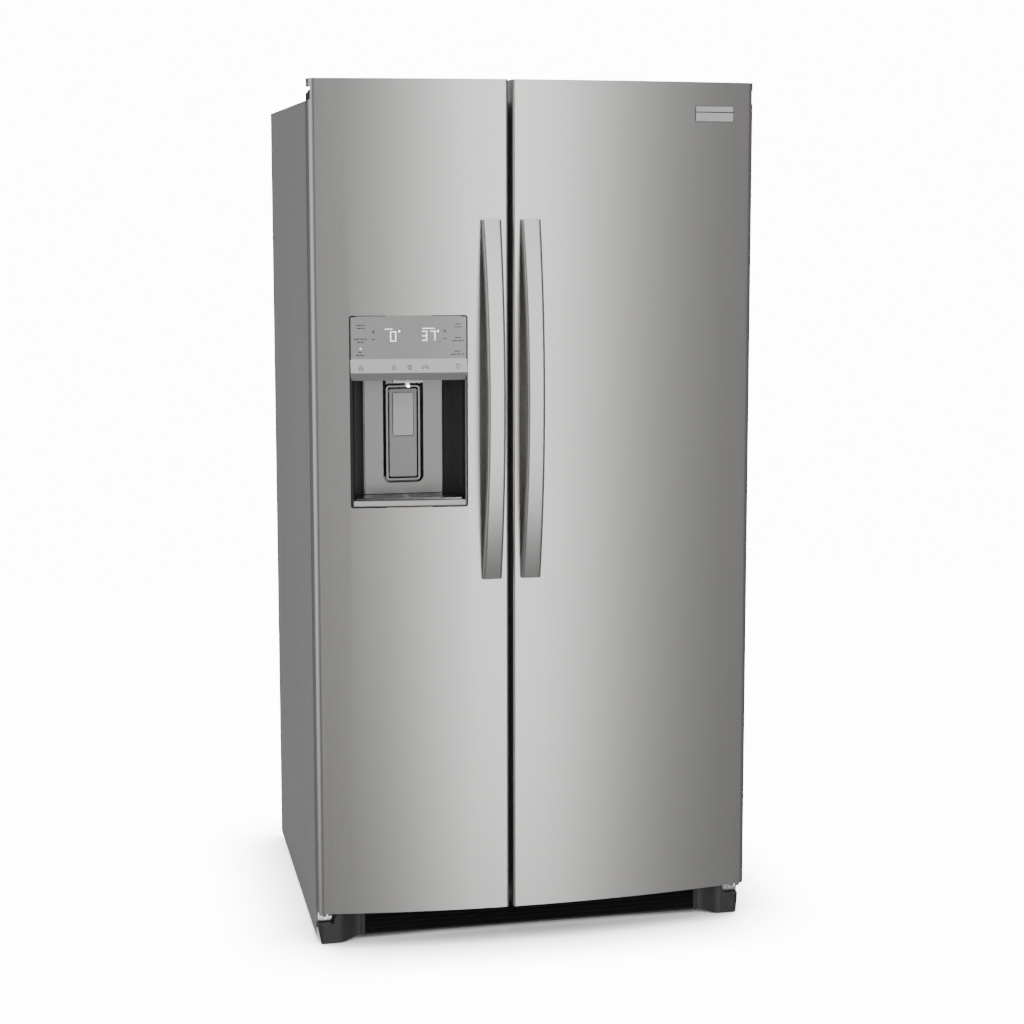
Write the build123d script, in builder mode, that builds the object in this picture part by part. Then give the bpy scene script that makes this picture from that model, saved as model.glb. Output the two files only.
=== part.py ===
"""Side by side refrigerator: freezer on the left with a door dispenser, fresh food on the right.

Millimetres. +X is to the right, -Y is the front, +Z is up. The origin is on the floor,
under the middle of the overall box.
"""
from build123d import *

import os

# ---------------------------------------------------------------- driving dimensions
width = 915.0
depth = 882.0
door_top = 1770.0
door_bottom = 76.0
cabinet_top = 1728.0
cabinet_bottom = 98.0
cabinet_depth = 728.0
side_bottom = 12.0
door_slab = 40.0
door_to_cabinet = 12.0
door_bow = 40.0
door_gap = (-66.0, -57.0)
sheet = 1.0
liner_wall = 2.5

half = width / 2
back = depth / 2
cabinet_front = back - cabinet_depth
door_back = cabinet_front - door_to_cabinet
door_front = door_back - door_slab
bow_radius = (half**2 + door_bow**2) / (2 * door_bow)
bow_centre = door_front - door_bow + bow_radius

# Food compartments: the free space inside each liner.
freezer_x = (-395.0, -90.0)
fridge_x = (-33.0, 410.0)
inside_z = (150.0, 1678.0)
inside_back = 373.0
step_front = 150.0
step_top = 340.0
liner_corner = 14.0

# Machine compartment at the bottom of the back.
machine_front = 190.0
machine_top = 308.0
machine_floor = 40.0

# Door hinges.
hinge_x = 440.0
hinge_y = door_front + 22.0
pin_radius = 5.0
pin_clearance = 0.05
arm_half = 9.0
cap_height = 14.0
notch_z = (1728.0, 1754.0)
notch_front = door_front + 2.0
notch_x = 403.0

# Door inside: a sheet with raised ribs that the bins hang between.
door_sheet = 2.5
rib_back = door_front + 100.0
gasket_back = cabinet_front - 0.8

# Dispenser in the freezer door.
dispenser_x = (-382.0, -150.0)
dispenser_z = (920.2, 1303.5)
dispenser_middle = -266.0
dispenser_half = 116.0
cavity_back = door_front + 58.0
cavity_half_front = 112.0
cavity_half_back = 81.0
cavity_z = (932.0, 1175.0)
panel_bottom = 1190.5
strip_top = 1218.5
pocket_half = 41.5
pocket_z = (959.0, 1163.0)
pocket_back = door_front + 86.0
paddle_half = 28.0
paddle_z = (971.0, 1151.0)
paddle_pivot_z = 1147.0
chute_half = 28.0
flap_y = door_front + 92.0
flap_z = 1279.0

# Handles.
handle_z = (770.0, 1494.0)
handle_width = 40.0
handle_waist = 36.0
handle_lift_end = 11.0
handle_inset = 40.0
handle_thickness = 15.0

# Wheels and feet.
roller_radius = 27.0
roller_width = 20.0
rail_x = (404.0, 446.0)
rail_middle = sum(rail_x) / 2
rail_bottom = 22.0

# Cabinet shell and toe grille.
flange = 19.0
grille_z = (9.0, 64.0)
foot_width = 92.0

# Levelling legs and rollers.
leg_y = cabinet_front + 36.0
leg_radius = 6.0
front_roller_y = cabinet_front + 110.0
front_roller_z = roller_radius + 3.0
rear_roller_y = 400.0

# Door liners: the ribs that hold the bins, and the bulge around the dispenser.
rib_width = 20.0
bulge_z = (890.0, 1320.0)
chute_mouth_z = (1222.0, 1282.0)
freezer_rib_x = (-388.0, -102.0)
fridge_rib_x = (-22.0, 402.0)

# Door bins: how far back they reach, and the dairy compartment.
shallow_bin = door_front + 115
deep_bin = door_front + 165
dairy_z = (1420.0, 1530.0)
dairy_pivot = (door_back + 12.0, 1536.0)
dairy_front = door_front + 160

# Dispenser details.
grille_plate_z = (cavity_z[0] + 0.8, cavity_z[0] + 4.0)
paddle_pivot_y = cavity_back + 4.0

# Freezer fittings.
shelf_y = (-160.0, 346.0)
ice_bin_x = (-388.0, -97.0)
ice_bin_y = (-158.0, 330.0)
ice_bin_z = (1186.5, 1370.0)
auger_x = -266.0
auger_z = 1250.0
arm_pivot = (-20.0, 1530.0)
evaporator_y = (354.0, 371.0)
fan_x = (freezer_x[0] + freezer_x[1]) / 2
fan_z = 960.0

# Fresh food fittings.
track_x = (60.0, 310.0)
track_width = 20.0
fridge_shelf_heights = (800.0, 1080.0, 1360.0)
shelf_x = (fridge_x[0] + 5, fridge_x[1] - 5)
crisper_x = (fridge_x[0] + 14, fridge_x[1] - 14)
crisper_front = -84.0
cover_front = -110.0

# Machine compartment fittings.
compressor_x = 250.0
compressor_y = 315.0
condenser_x = (-130.0, 60.0)
machine_fan = (-230.0, 250.0, 165.0)
valve_x = -340.0
inlet_radius = 5.5
cord_inlet = (330.0, 240.0)
inlet_bore = 6.0


# ---------------------------------------------------------------- shared shapes
def block(x, y, z, mode=Mode.ADD):
    """The box between two values on each axis, in either order."""
    centre = ((x[0] + x[1]) / 2, (y[0] + y[1]) / 2, (z[0] + z[1]) / 2)
    with Locations(centre):
        Box(abs(x[1] - x[0]), abs(y[1] - y[0]), abs(z[1] - z[0]), mode=mode)


def front_view(y):
    """A plane that looks from the front: its own axes are X and Z."""
    return Plane(origin=(0, y, 0), x_dir=(1, 0, 0), z_dir=(0, -1, 0))


def rounded_block(x, y, z, radius, mode=Mode.ADD):
    """A box whose four edges along Y are rounded."""
    with BuildSketch(front_view(y[0])) as outline:
        with Locations(((x[0] + x[1]) / 2, (z[0] + z[1]) / 2)):
            RectangleRounded(abs(x[1] - x[0]), abs(z[1] - z[0]), radius)
    extrude(outline.sketch, amount=y[0] - y[1], mode=mode)


def side_prism(points, x, mode=Mode.ADD):
    """A side outline of (y, z) points, drawn out along X."""
    with BuildSketch(Plane.YZ.offset(min(x))) as outline:
        Polygon(*points, align=None)
    extrude(outline.sketch, amount=abs(x[1] - x[0]), mode=mode)


def rod_x(y, z, x, radius, mode=Mode.ADD):
    """A round bar along X."""
    with BuildSketch(Plane.YZ.offset(min(x))) as outline:
        with Locations((y, z)):
            Circle(radius)
    extrude(outline.sketch, amount=abs(x[1] - x[0]), mode=mode)


def rod_y(x, z, y, radius, mode=Mode.ADD):
    """A round bar along Y."""
    with BuildSketch(front_view(min(y))) as outline:
        with Locations((x, z)):
            Circle(radius)
    extrude(outline.sketch, amount=-abs(y[1] - y[0]), mode=mode)


def rod_z(x, y, z, radius, mode=Mode.ADD):
    """A round bar along Z."""
    with BuildSketch(Plane.XY.offset(min(z))) as outline:
        with Locations((x, y)):
            Circle(radius)
    extrude(outline.sketch, amount=abs(z[1] - z[0]), mode=mode)


def tray(x, y, z, wall, mode=Mode.ADD):
    """An open-topped box with walls and floor of one thickness."""
    block(x, y, z, mode)
    inner_x = (min(x) + wall, max(x) - wall)
    inner_y = (min(y) + wall, max(y) - wall)
    block(inner_x, inner_y, (min(z) + wall, max(z) + wall), Mode.SUBTRACT)


def save(builder, label):
    """Labels a finished piece and writes it."""
    builder.part.label = label
    export_step(builder.part, f"parts/{label}.step")


def bow_y(x):
    """Where the bowed front of the doors lies at x."""
    return bow_centre - (bow_radius**2 - x**2) ** 0.5


# ---------------------------------------------------------------- cabinet shell
def make_outer_wrapper():
    """One folded steel sheet: two sides and the top, with narrow returns at the front and back."""
    inner = half - sheet
    with BuildPart() as wrapper:
        block((-inner, inner), (cabinet_front, back), (cabinet_top - sheet, cabinet_top))
        lip_z = (cabinet_top - flange, cabinet_top - sheet)
        block((flange - half, half - flange), (cabinet_front, cabinet_front + sheet), lip_z)
        for side in (-1, 1):
            block((side * inner, side * half), (cabinet_front, back), (side_bottom, cabinet_top))
            lip_x = (side * (half - flange), side * inner)
            block(lip_x, (cabinet_front, cabinet_front + sheet), (door_bottom, cabinet_top - sheet))
            block(lip_x, (back - sheet, back), (machine_top + 12, cabinet_top - sheet))
    save(wrapper, "outer_wrapper")


def make_back_panel():
    with BuildPart() as panel:
        inner = half - flange
        z = (machine_top + 12, cabinet_top - sheet)
        block((-inner, inner), (back - sheet, back), z)
        # Pressed stiffening grooves.
        for height in (620.0, 920.0, 1220.0, 1520.0):
            x = (-inner + 60, inner - 60)
            block(x, (back - sheet - 4, back - sheet), (height, height + 14))
            block((x[0] + 1, x[1] - 1), (back - 4, back), (height + 1, height + 13), Mode.SUBTRACT)
    save(panel, "back_panel")


def cabinet_floor():
    """The floor of the cabinet, stepped up over the machine compartment, and its front rail."""
    inner = half - sheet
    block((-inner, inner), (cabinet_front + 4, machine_front), (cabinet_bottom, cabinet_bottom + 2))
    riser_z = (cabinet_bottom, machine_top + 2)
    block((-inner, inner), (machine_front - 2, machine_front), riser_z)
    block((-inner, inner), (machine_front, back - 6), (machine_top, machine_top + 2))
    rail_y = (cabinet_front + 1, cabinet_front + 4)
    block((-inner, inner), rail_y, (grille_z[1] - 2, cabinet_bottom + 22))
    for side in (-1, 1):
        block((side * 418, side * inner), rail_y, (30, grille_z[1]))


def base_rail(side):
    """An inverted channel that carries a front roller's axle and a levelling leg's boss."""
    outer = (side * rail_x[0], side * rail_x[1])
    rail_y = (cabinet_front + 14, machine_front - 4)
    block(outer, rail_y, (rail_bottom, cabinet_bottom))
    inner = (side * (rail_x[0] + 2), side * (rail_x[1] - 2))
    block(inner, (rail_y[0] - 1, rail_y[1] + 1), (0, cabinet_bottom - 2), Mode.SUBTRACT)
    rod_x(front_roller_y, front_roller_z, outer, 4)
    block(inner, (leg_y - 14, leg_y + 14), (70, cabinet_bottom - 2))
    rod_z(side * rail_middle, leg_y, (60, cabinet_bottom), leg_radius + 0.05, Mode.SUBTRACT)


def machine_floor_plate():
    """The floor of the machine compartment, with ears for the rear rollers' axles."""
    edge = rail_x[0] - 2
    block((-edge, edge), (machine_front + 2, back - 6), (machine_floor, machine_floor + 2))
    block((-edge, edge), (machine_front, machine_front + 2), (machine_floor, cabinet_bottom))
    for side in (-1, 1):
        for ear in (rail_x[0] - 2, rail_x[1]):
            block((side * ear, side * (ear + 2)), (machine_front + 4, back - 8), (20, 90))
        rod_x(rear_roller_y, roller_radius, (side * (rail_x[0] - 2), side * (rail_x[1] + 2)), 4)
        bridge_x = (side * rail_x[0], side * (rail_x[1] + 2))
        block(bridge_x, (machine_front + 4, rear_roller_y - 60), (88, 90))


def make_base_frame():
    """The steel frame under the cabinet, with the strip that covers the divider's front."""
    with BuildPart() as frame:
        cabinet_floor()
        machine_floor_plate()
        for side in (-1, 1):
            base_rail(side)
        strip_x = (freezer_x[1] + 5, fridge_x[0] - 5)
        strip_z = (cabinet_bottom + 26, cabinet_top - flange - 4)
        rounded_block(strip_x, (cabinet_front - 0.3, cabinet_front), strip_z, 3)
    save(frame, "base_frame")


def make_leveling_leg(side, label):
    middle = side * rail_middle
    with BuildPart() as leg:
        rod_z(middle, leg_y, (8, 94), leg_radius)
        with BuildSketch(Plane.XY) as pad:
            with Locations((middle, leg_y)):
                Circle(17)
        extrude(pad.sketch, amount=8)
        chamfer(leg.edges().group_by(Axis.Z)[0], 2)
        with BuildSketch(Plane.XY.offset(12)) as nut:
            with Locations((middle, leg_y)):
                RegularPolygon(11, 6)
        extrude(nut.sketch, amount=8)
    save(leg, label)


def make_rollers(y, z, label):
    """A left and a right wheel on one line, each with a web, a hub and a chamfered tread."""
    with BuildPart() as rollers:
        for side in (-1, 1):
            x = (side * rail_middle - roller_width / 2, side * rail_middle + roller_width / 2)
            rod_x(y, z, x, roller_radius)
        chamfer(rollers.edges(), 1.5)
        for side in (-1, 1):
            x = (side * rail_middle - roller_width / 2, side * rail_middle + roller_width / 2)
            for face in ((x[0], x[0] + 6), (x[1] - 6, x[1])):
                rod_x(y, z, face, roller_radius - 5, Mode.SUBTRACT)
                rod_x(y, z, face, 9)
            rod_x(y, z, (x[0] - 1, x[1] + 1), 4.05, Mode.SUBTRACT)
    save(rollers, label)


# ---------------------------------------------------------------- liners and foam
def liner_solid(x, wall):
    """A compartment grown by a wall, with the step over the machine compartment cut out."""
    body_x = (x[0] - wall, x[1] + wall)
    body_z = (inside_z[0] - wall, inside_z[1] + wall)
    rounded_block(body_x, (cabinet_front, inside_back + wall), body_z, liner_corner + wall)
    block(
        (body_x[0] - 1, body_x[1] + 1),
        (step_front + wall, back),
        (inside_z[0] - wall - 1, step_top - wall),
        Mode.SUBTRACT,
    )


def liner_blank(x, wall):
    """The same solid on its own, to cut other pieces with."""
    with BuildPart() as blank:
        liner_solid(x, wall)
    return blank.part


def make_liner(x, lip_x, runners, label):
    """A thin moulded lining with a front lip and moulded runners for its drawers."""
    inner = liner_blank(x, 0)
    with BuildPart() as liner:
        liner_solid(x, liner_wall)
        lip_z = (cabinet_bottom + 24, cabinet_top - flange - 1)
        block(lip_x, (cabinet_front, cabinet_front + liner_wall), lip_z)
        add(inner, mode=Mode.SUBTRACT)
        for wall, inward in ((x[0], 1), (x[1], -1)):
            for low, high, y_back, reach in runners:
                block((wall, wall + inward * reach), (cover_front, y_back), (low, high))
    save(liner, label)


def make_cabinet_foam():
    freezer = liner_blank(freezer_x, liner_wall)
    fridge = liner_blank(fridge_x, liner_wall)
    inner = half - sheet
    with BuildPart() as foam:
        block((-inner, inner), (cabinet_front + 5, back - 6), (cabinet_bottom + 2, cabinet_top - sheet))
        block((-inner - 1, inner + 1), (machine_front - 2, back), (0, machine_top + 2), Mode.SUBTRACT)
        add(freezer, mode=Mode.SUBTRACT)
        add(fridge, mode=Mode.SUBTRACT)
    save(foam, "cabinet_foam")


# ---------------------------------------------------------------- hinges
def top_hinge(side):
    """A plate on the cabinet's top whose arm reaches into the door's notch, with its pin."""
    x = side * hinge_x
    block((x - side, x - side * 60), (cabinet_front + 8, cabinet_front + 96), (cabinet_top, 1735))
    block((x - arm_half, x + arm_half), (hinge_y, cabinet_front + 10), (1731, 1735))
    rod_z(x, hinge_y, (1731, 1735), arm_half)
    rod_z(x, hinge_y, (1711, 1735), pin_radius)
    for offset in (10, 50):
        for y in (cabinet_front + 30, cabinet_front + 76):
            with BuildSketch(Plane.XY.offset(1735)) as head:
                with Locations((x - side * offset, y)):
                    RegularPolygon(6.5, 6)
            extrude(head.sketch, amount=5)


def bottom_hinge(side):
    """A thick bracket under the door's corner with a pin that stands up into it."""
    x = side * hinge_x
    block((x - 14, x + 14), (hinge_y, cabinet_front + 1), (67, 72))
    rod_z(x, hinge_y, (67, 72), 14)
    rod_z(x, hinge_y, (72, 90), pin_radius)
    rod_z(x, hinge_y, (72, 74.5), 9)
    block((x - 14, x + 14), (cabinet_front - 3, cabinet_front + 1), (45, 72))
    for z in (50.0, 60.0):
        rod_y(x, z, (cabinet_front - 6, cabinet_front - 2), 3.5)


def make_pair(makers, label):
    """A left and a right copy of each piece."""
    with BuildPart() as pair:
        for side in (-1, 1):
            for maker in makers:
                maker(side)
    save(pair, label)


def hinge_cover(side):
    """A moulded cover over the hinge plate and its arm."""
    x = side * hinge_x
    outer = arm_half + 2
    inner = arm_half + 0.3
    with BuildPart(mode=Mode.PRIVATE) as cover:
        body_x = (x + side * 3, x - side * 70)
        block(body_x, (cabinet_front + 2, cabinet_front + 130), (cabinet_top, 1750))
        fillet(cover.edges().filter_by(Axis.Z), 8)
        block((x - outer, x + outer), (hinge_y, cabinet_front + 14), (1729, 1750))
        rod_z(x, hinge_y, (1729, 1750), outer)
        chamfer(cover.faces().sort_by(Axis.Z)[-1].edges(), 2)
        # Hollow inside, clear of the plate, its screws and the pin.
        hollow_x = (x, x - side * 66)
        block(hollow_x, (cabinet_front + 5, cabinet_front + 126), (cabinet_top - 1, 1747), Mode.SUBTRACT)
        block((x - inner, x + inner), (hinge_y, cabinet_front + 10), (1720, 1736), Mode.SUBTRACT)
        rod_z(x, hinge_y, (1720, 1736), inner, Mode.SUBTRACT)
    add(cover.part)


# ---------------------------------------------------------------- toe grille
def make_toe_grille():
    """A louvred plinth between two feet that flare forward and down to the floor."""
    with BuildPart() as grille:
        y = (cabinet_front - 11, cabinet_front + 1)
        foot = half - foot_width - 1
        block((-foot, foot), y, grille_z)
        block((-foot + 8, foot - 8), (y[0] - 1, y[1] - 8), (grille_z[0] + 3, grille_z[1] - 3), Mode.SUBTRACT)
        for row in range(5):
            z = grille_z[0] + 6 + row * 10
            louvre = [(y[0] - 6, z), (y[0] - 4, z - 1.5), (y[1] - 7, z + 4), (y[1] - 7, z + 6)]
            side_prism(louvre, (-foot + 8, foot - 8))
        for slot in range(-9, 10):
            x = slot * 38
            for row in range(4):
                z = grille_z[0] + 12 + row * 10
                block((x - 15, x + 15), (y[1] - 9, y[1] + 1), (z, z + 3), Mode.SUBTRACT)
    save(grille, "toe_grille")


def foot_cover(side):
    """A moulded corner foot whose lower edge and front sweep in an S towards the grille."""
    y0 = cabinet_front
    sweep = half - foot_width
    with BuildPart(mode=Mode.PRIVATE) as foot:
        with BuildSketch(front_view(y0 + 1)):
            with BuildLine():
                shoulder = Line((half - 2, 42), (half - 34, 42))
                rise = Spline(shoulder @ 1, (half - 46, 64), tangents=((-0.4, 1), (-1, 0.2)))
                top = Line(rise @ 1, (sweep, 64))
                inner = Line(top @ 1, (sweep, 10))
                curl = Spline(inner @ 1, (half - 48, 1.5), tangents=((1, -0.05), (1, -0.05)))
                sole = Line(curl @ 1, (half - 8, 1))
                Line(sole @ 1, shoulder @ 0)
            make_face()
        extrude(amount=40)
        with BuildSketch(Plane.XY):
            with BuildLine():
                rear = Line((half - 2, y0 + 1), (sweep, y0 + 1))
                end = Line(rear @ 1, (sweep, y0 - 10))
                face = Spline(end @ 1, (half - 44, y0 - 22), tangents=((1, 0), (1, -0.05)))
                toe = Line(face @ 1, (half - 12, y0 - 22))
                round_corner = TangentArc(toe @ 1, (half - 2, y0 - 12), tangent=(1, 0))
                Line(round_corner @ 1, rear @ 0)
            make_face()
        extrude(amount=70, mode=Mode.INTERSECT)
        # Hollow inside, open to the back and the floor.
        block((sweep + 4, half - 40), (y0 - 6, y0 + 2), (6, 60), Mode.SUBTRACT)
        block((half - 41, half - 5), (y0 - 14, y0 + 2), (-1, 39), Mode.SUBTRACT)
    add(foot.part if side > 0 else mirror(foot.part, Plane.YZ))


def make_foot_covers():
    make_pair((foot_cover,), "foot_covers")


# ---------------------------------------------------------------- doors
def door_outline(outer, inner, inset):
    """The plan of a door: flat back, straight sides and a front on the shared bow."""
    side = 1 if outer > inner else -1
    x = (outer - side * inset, inner + side * inset)
    with BuildSketch(Plane.XY) as plan:
        with Locations(((x[0] + x[1]) / 2, (door_back - inset + door_front - 60) / 2)):
            Rectangle(abs(x[1] - x[0]), door_back - inset - door_front + 60)
        with Locations((0, bow_centre)):
            Circle(bow_radius - inset, mode=Mode.INTERSECT)
        corners = plan.vertices().sort_by(Axis.Y)
        fillet(corners[0], 5 - inset)
        fillet(plan.vertices().filter_by(lambda v: abs(v.X - x[0]) < 0.01).sort_by(Axis.Y)[0], 14 - inset)
    return plan.sketch


def door_body(outer, inner, inset, z, mode=Mode.ADD):
    outline = door_outline(outer, inner, inset).moved(Location((0, 0, z[0])))
    extrude(outline, amount=z[1] - z[0], mode=mode)


def hinge_notch(side, mode=Mode.SUBTRACT):
    """The notch in a door's top outer corner that the hinge arm turns in."""
    block((side * (half + 1), side * notch_x), (notch_front, door_back + 3), notch_z, mode)


def make_door_skin(outer, inner, side, label):
    """One folded steel sheet: bowed front, two sides and a narrow return at the back."""
    with BuildPart() as skin:
        door_body(outer, inner, 0, (door_bottom, door_top))
        door_body(outer, inner, sheet, (door_bottom - 1, door_top + 1), Mode.SUBTRACT)
        back_x = (outer - side * 14, inner + side * 14)
        block(back_x, (door_back - 2, door_back + 1), (door_bottom - 1, door_top + 1), Mode.SUBTRACT)
        hinge_notch(side)
        if side < 0:
            rounded_block(
                (dispenser_x[0] - 1.5, dispenser_x[1] + 1.5),
                (door_front - 60, door_back - 3),
                (dispenser_z[0] - 1.5, dispenser_z[1] + 1.5),
                5.5,
                Mode.SUBTRACT,
            )
    save(skin, label)


def make_door_caps(outer, inner, side, label):
    """The moulded ends of a door: the top one has the hinge's notch and bushing."""
    low = door_bottom + 2
    block_bottom = notch_z[0] - 23
    with BuildPart() as caps:
        door_body(outer, inner, sheet, (block_bottom, door_top - 2))
        beside = (side * (notch_x - 4), inner)
        block(beside, (door_front - 60, door_back + 1), (block_bottom - 1, notch_z[1]), Mode.SUBTRACT)
        hinge_notch(side)
        door_body(outer, inner, sheet, (low, low + cap_height))
        for bore in ((notch_z[0] - 20, notch_z[0] + 1), (low - 1, low + cap_height + 1)):
            rod_z(side * hinge_x, hinge_y, bore, pin_radius + pin_clearance, Mode.SUBTRACT)
    save(caps, label)


def make_door_liner(x, outer, inner, side, label):
    """The moulded inside of a door: a sheet with a raised ring that the bins hang between."""
    with BuildPart() as liner:
        ring_z = (inside_z[0] + 10, inside_z[1] - 10)
        ring_y = (door_back + door_sheet, rib_back)
        rounded_block(x, ring_y, ring_z, 22)
        hollow_x = (x[0] + rib_width, x[1] - rib_width)
        hollow_z = (ring_z[0] + rib_width, ring_z[1] - rib_width)
        rounded_block(hollow_x, ring_y, hollow_z, 10, Mode.SUBTRACT)
        sheet_x = (outer - side * 2, inner + side * 2)
        block(sheet_x, (door_back, door_back + door_sheet), (door_bottom + 2, door_top - 2))
        if side < 0:
            block((x[0] + 4, x[1] - 4), (door_back + 1, rib_back), bulge_z)
            hollow_y = (door_back - 1, rib_back - 3)
            block((x[0] + 7, x[1] - 7), hollow_y, (bulge_z[0] + 3, bulge_z[1] - 3), Mode.SUBTRACT)
            hole_x = (dispenser_middle - chute_half, dispenser_middle + chute_half)
            block(hole_x, (rib_back - 4, rib_back + 1), chute_mouth_z, Mode.SUBTRACT)
        hinge_notch(side)
    save(liner, label)


def make_door_foam(outer, inner, side, label):
    """The foamed core between the skin, the liner and the caps."""
    hull = housing_hull() if side < 0 else None
    with BuildPart() as foam:
        door_body(outer, inner, sheet, (door_bottom + 2 + cap_height, notch_z[1]))
        corner_z = (notch_z[0] - 23, notch_z[1] + 1)
        corner_x = (side * (half + 1), side * (notch_x - 4))
        block(corner_x, (door_front - 60, door_back + 1), corner_z, Mode.SUBTRACT)
        if side < 0:
            x = (freezer_rib_x[0] + 7, freezer_rib_x[1] - 7)
            block(x, (door_back - 2, rib_back - 3), (bulge_z[0] + 3, bulge_z[1] - 3))
            add(hull, mode=Mode.SUBTRACT)
    save(foam, label)


def make_gasket(outer, inner, side, label):
    """A hollow-lipped magnetic seal, modelled as a ring with a groove round its face."""
    with BuildPart() as gasket:
        x = (outer - side * 19.5, inner + side * 6)
        z = (104.0, 1716.0)
        rounded_block(x, (door_back + door_sheet, gasket_back), z, 10)
        hole_x = (x[0] - side * 21, x[1] + side * 21)
        rounded_block(hole_x, (door_back, cabinet_front), (z[0] + 21, z[1] - 21), 4, Mode.SUBTRACT)
    save(gasket, label)


def make_handle(x, label):
    """A bowed bar whose two feet stand on the door."""
    surface = bow_y(x)
    front_mid = -depth / 2
    front_end = surface - handle_lift_end
    middle_z = (handle_z[0] + handle_z[1]) / 2
    foot = 34.0
    root_y = surface + 6
    with BuildPart() as handle:
        with BuildSketch(Plane.YZ.offset(x - handle_width / 2)):
            with BuildLine():
                ends = ((front_end, handle_z[1]), (front_end, handle_z[0]))
                outer = ThreePointArc(ends[0], (front_mid, middle_z), ends[1])
                low_foot = handle_z[0] + foot
                root = ((root_y, handle_z[0]), (root_y, low_foot))
                low = Polyline(outer @ 1, *root, (surface - 2, low_foot))
                high_foot = handle_z[1] - foot
                inner_middle = (front_mid + handle_thickness, middle_z)
                inner = ThreePointArc(low @ 1, inner_middle, (surface - 2, high_foot))
                Polyline(inner @ 1, (root_y, high_foot), (root_y, handle_z[1]), outer @ 0)
            make_face()
        extrude(amount=handle_width)
        with BuildSketch(front_view(front_mid - 1)):
            with BuildLine():
                edge = handle_width / 2
                waist = (x - handle_waist / 2, middle_z)
                left = ThreePointArc((x - edge, handle_z[0]), waist, (x - edge, handle_z[1]))
                top = Line(left @ 1, (x + edge, handle_z[1]))
                right = ThreePointArc(top @ 1, (x + handle_waist / 2, middle_z), (x + edge, handle_z[0]))
                Line(right @ 1, left @ 0)
            make_face()
        extrude(amount=-120, mode=Mode.INTERSECT)
        long_edges = handle.edges().filter_by(lambda edge: edge.length > 600)
        fillet(long_edges.sort_by(Axis.Y)[:2], 5)
        with Locations((0, bow_centre, middle_z)):
            Cylinder(bow_radius + 0.05, 800, mode=Mode.SUBTRACT)
    save(handle, label)


def make_door_bins(x, bins_at, label):
    """Clear shelf bins between the door's ribs: a tray with a tall front guard.

    The lower ones are shallow, so that the drawers behind them can move.
    """
    with BuildPart() as bins:
        if label.startswith("fridge"):
            dairy_box((x[0] + rib_width + 1, x[1] - rib_width - 1))
        for low, reach in bins_at:
            y = (door_back + door_sheet, reach)
            wall_x = (x[0] + rib_width + 1, x[1] - rib_width - 1)
            tray(wall_x, y, (low, low + 80), 2.5)
            guard = (low + 80, low + 104)
            block(wall_x, (y[1] - 2.5, y[1]), guard)
            with BuildSketch(Plane.XY.offset(low + 78)) as rim:
                with Locations(((wall_x[0] + wall_x[1]) / 2, y[1] - 4)):
                    Rectangle(wall_x[1] - wall_x[0] - 5, 3)
            extrude(rim.sketch, amount=2)
    save(bins, label)


def dairy_box(x):
    """A compartment with a low front wall, for the lid to close over."""
    y = (door_back + door_sheet, dairy_front)
    tray(x, y, (dairy_z[0], dairy_z[0] + 40), 2.5)
    for wall in (x[0], x[1] - 2.5):
        block((wall, wall + 2.5), y, dairy_z)
    block(x, (y[0], y[0] + 2.5), dairy_z)


def make_dairy_lid():
    """The clear tip-up lid: a top and a front in one bend, with its pivot rod."""
    x = (fridge_rib_x[0] + rib_width + 4, fridge_rib_x[1] - rib_width - 4)
    with BuildPart() as lid:
        rod_x(dairy_pivot[0], dairy_pivot[1], x, 3)
        block(x, (dairy_pivot[0], dairy_front + 4), (dairy_pivot[1] - 1.2, dairy_pivot[1] + 1.2))
        block(x, (dairy_front + 1, dairy_front + 4), (dairy_z[0] + 42, dairy_pivot[1]))
    save(lid, "dairy_lid")


# ---------------------------------------------------------------- dispenser
def bow_ring(profile, x, z, corner, mode=Mode.ADD):
    """A piece that follows the doors' bow: a (proud, z) outline swept round the bow's axis.

    Proud is how far a point stands in front of the door's skin.
    """
    radial = Plane(origin=(0, bow_centre, 0), x_dir=(0, -1, 0), z_dir=(-1, 0, 0))
    with BuildPart(mode=Mode.PRIVATE) as ring:
        with BuildSketch(radial):
            Polygon(*[(bow_radius + proud, height) for proud, height in profile], align=None)
        revolve(axis=Axis((0, bow_centre, 0), (0, 0, -1)), revolution_arc=12)
        rounded_block(x, (door_front - 80, door_back), z, corner, Mode.INTERSECT)
    add(ring.part, mode=mode)


def cavity_plan(grow, z, mode=Mode.ADD):
    """The dispenser's recess seen from above, with its sides curving in towards the back."""
    front_y = door_front - 60
    mouth_y = door_front - 12
    rear_y = cavity_back + grow
    wide = cavity_half_front + grow
    narrow = cavity_half_back + grow
    with BuildSketch(Plane.XY.offset(z[0])) as plan:
        with BuildLine():
            left = (dispenser_middle - wide, mouth_y)
            right = (dispenser_middle + wide, mouth_y)
            bulge = (wide + narrow) / 2 + 7
            mid_y = (mouth_y + rear_y) / 2
            Polyline(left, (left[0], front_y), (right[0], front_y), right)
            ThreePointArc(right, (dispenser_middle + bulge, mid_y), (dispenser_middle + narrow, rear_y))
            Line((dispenser_middle + narrow, rear_y), (dispenser_middle - narrow, rear_y))
            ThreePointArc((dispenser_middle - narrow, rear_y), (dispenser_middle - bulge, mid_y), left)
        make_face()
    extrude(plan.sketch, amount=z[1] - z[0], mode=mode)


def chute_outline(grow):
    """The ice chute from the liner's opening down to the recess's ceiling, as (y, z) points."""
    low = cavity_z[1] - 2
    outline = [(12, low), (50, low), (97, 1222), (97, 1282), (58, 1282), (12, 1215)]
    middle = (60, 1225)
    grown = []
    for y, z in outline:
        away_y = grow if y > middle[0] else -grow
        away_z = grow if z > middle[1] else -grow
        grown.append((door_front + y + (0 if y > 90 else away_y), z + away_z))
    grown[1] = (door_front + outline[1][0] + grow * 1.4, outline[1][1] - grow)
    return grown


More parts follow.
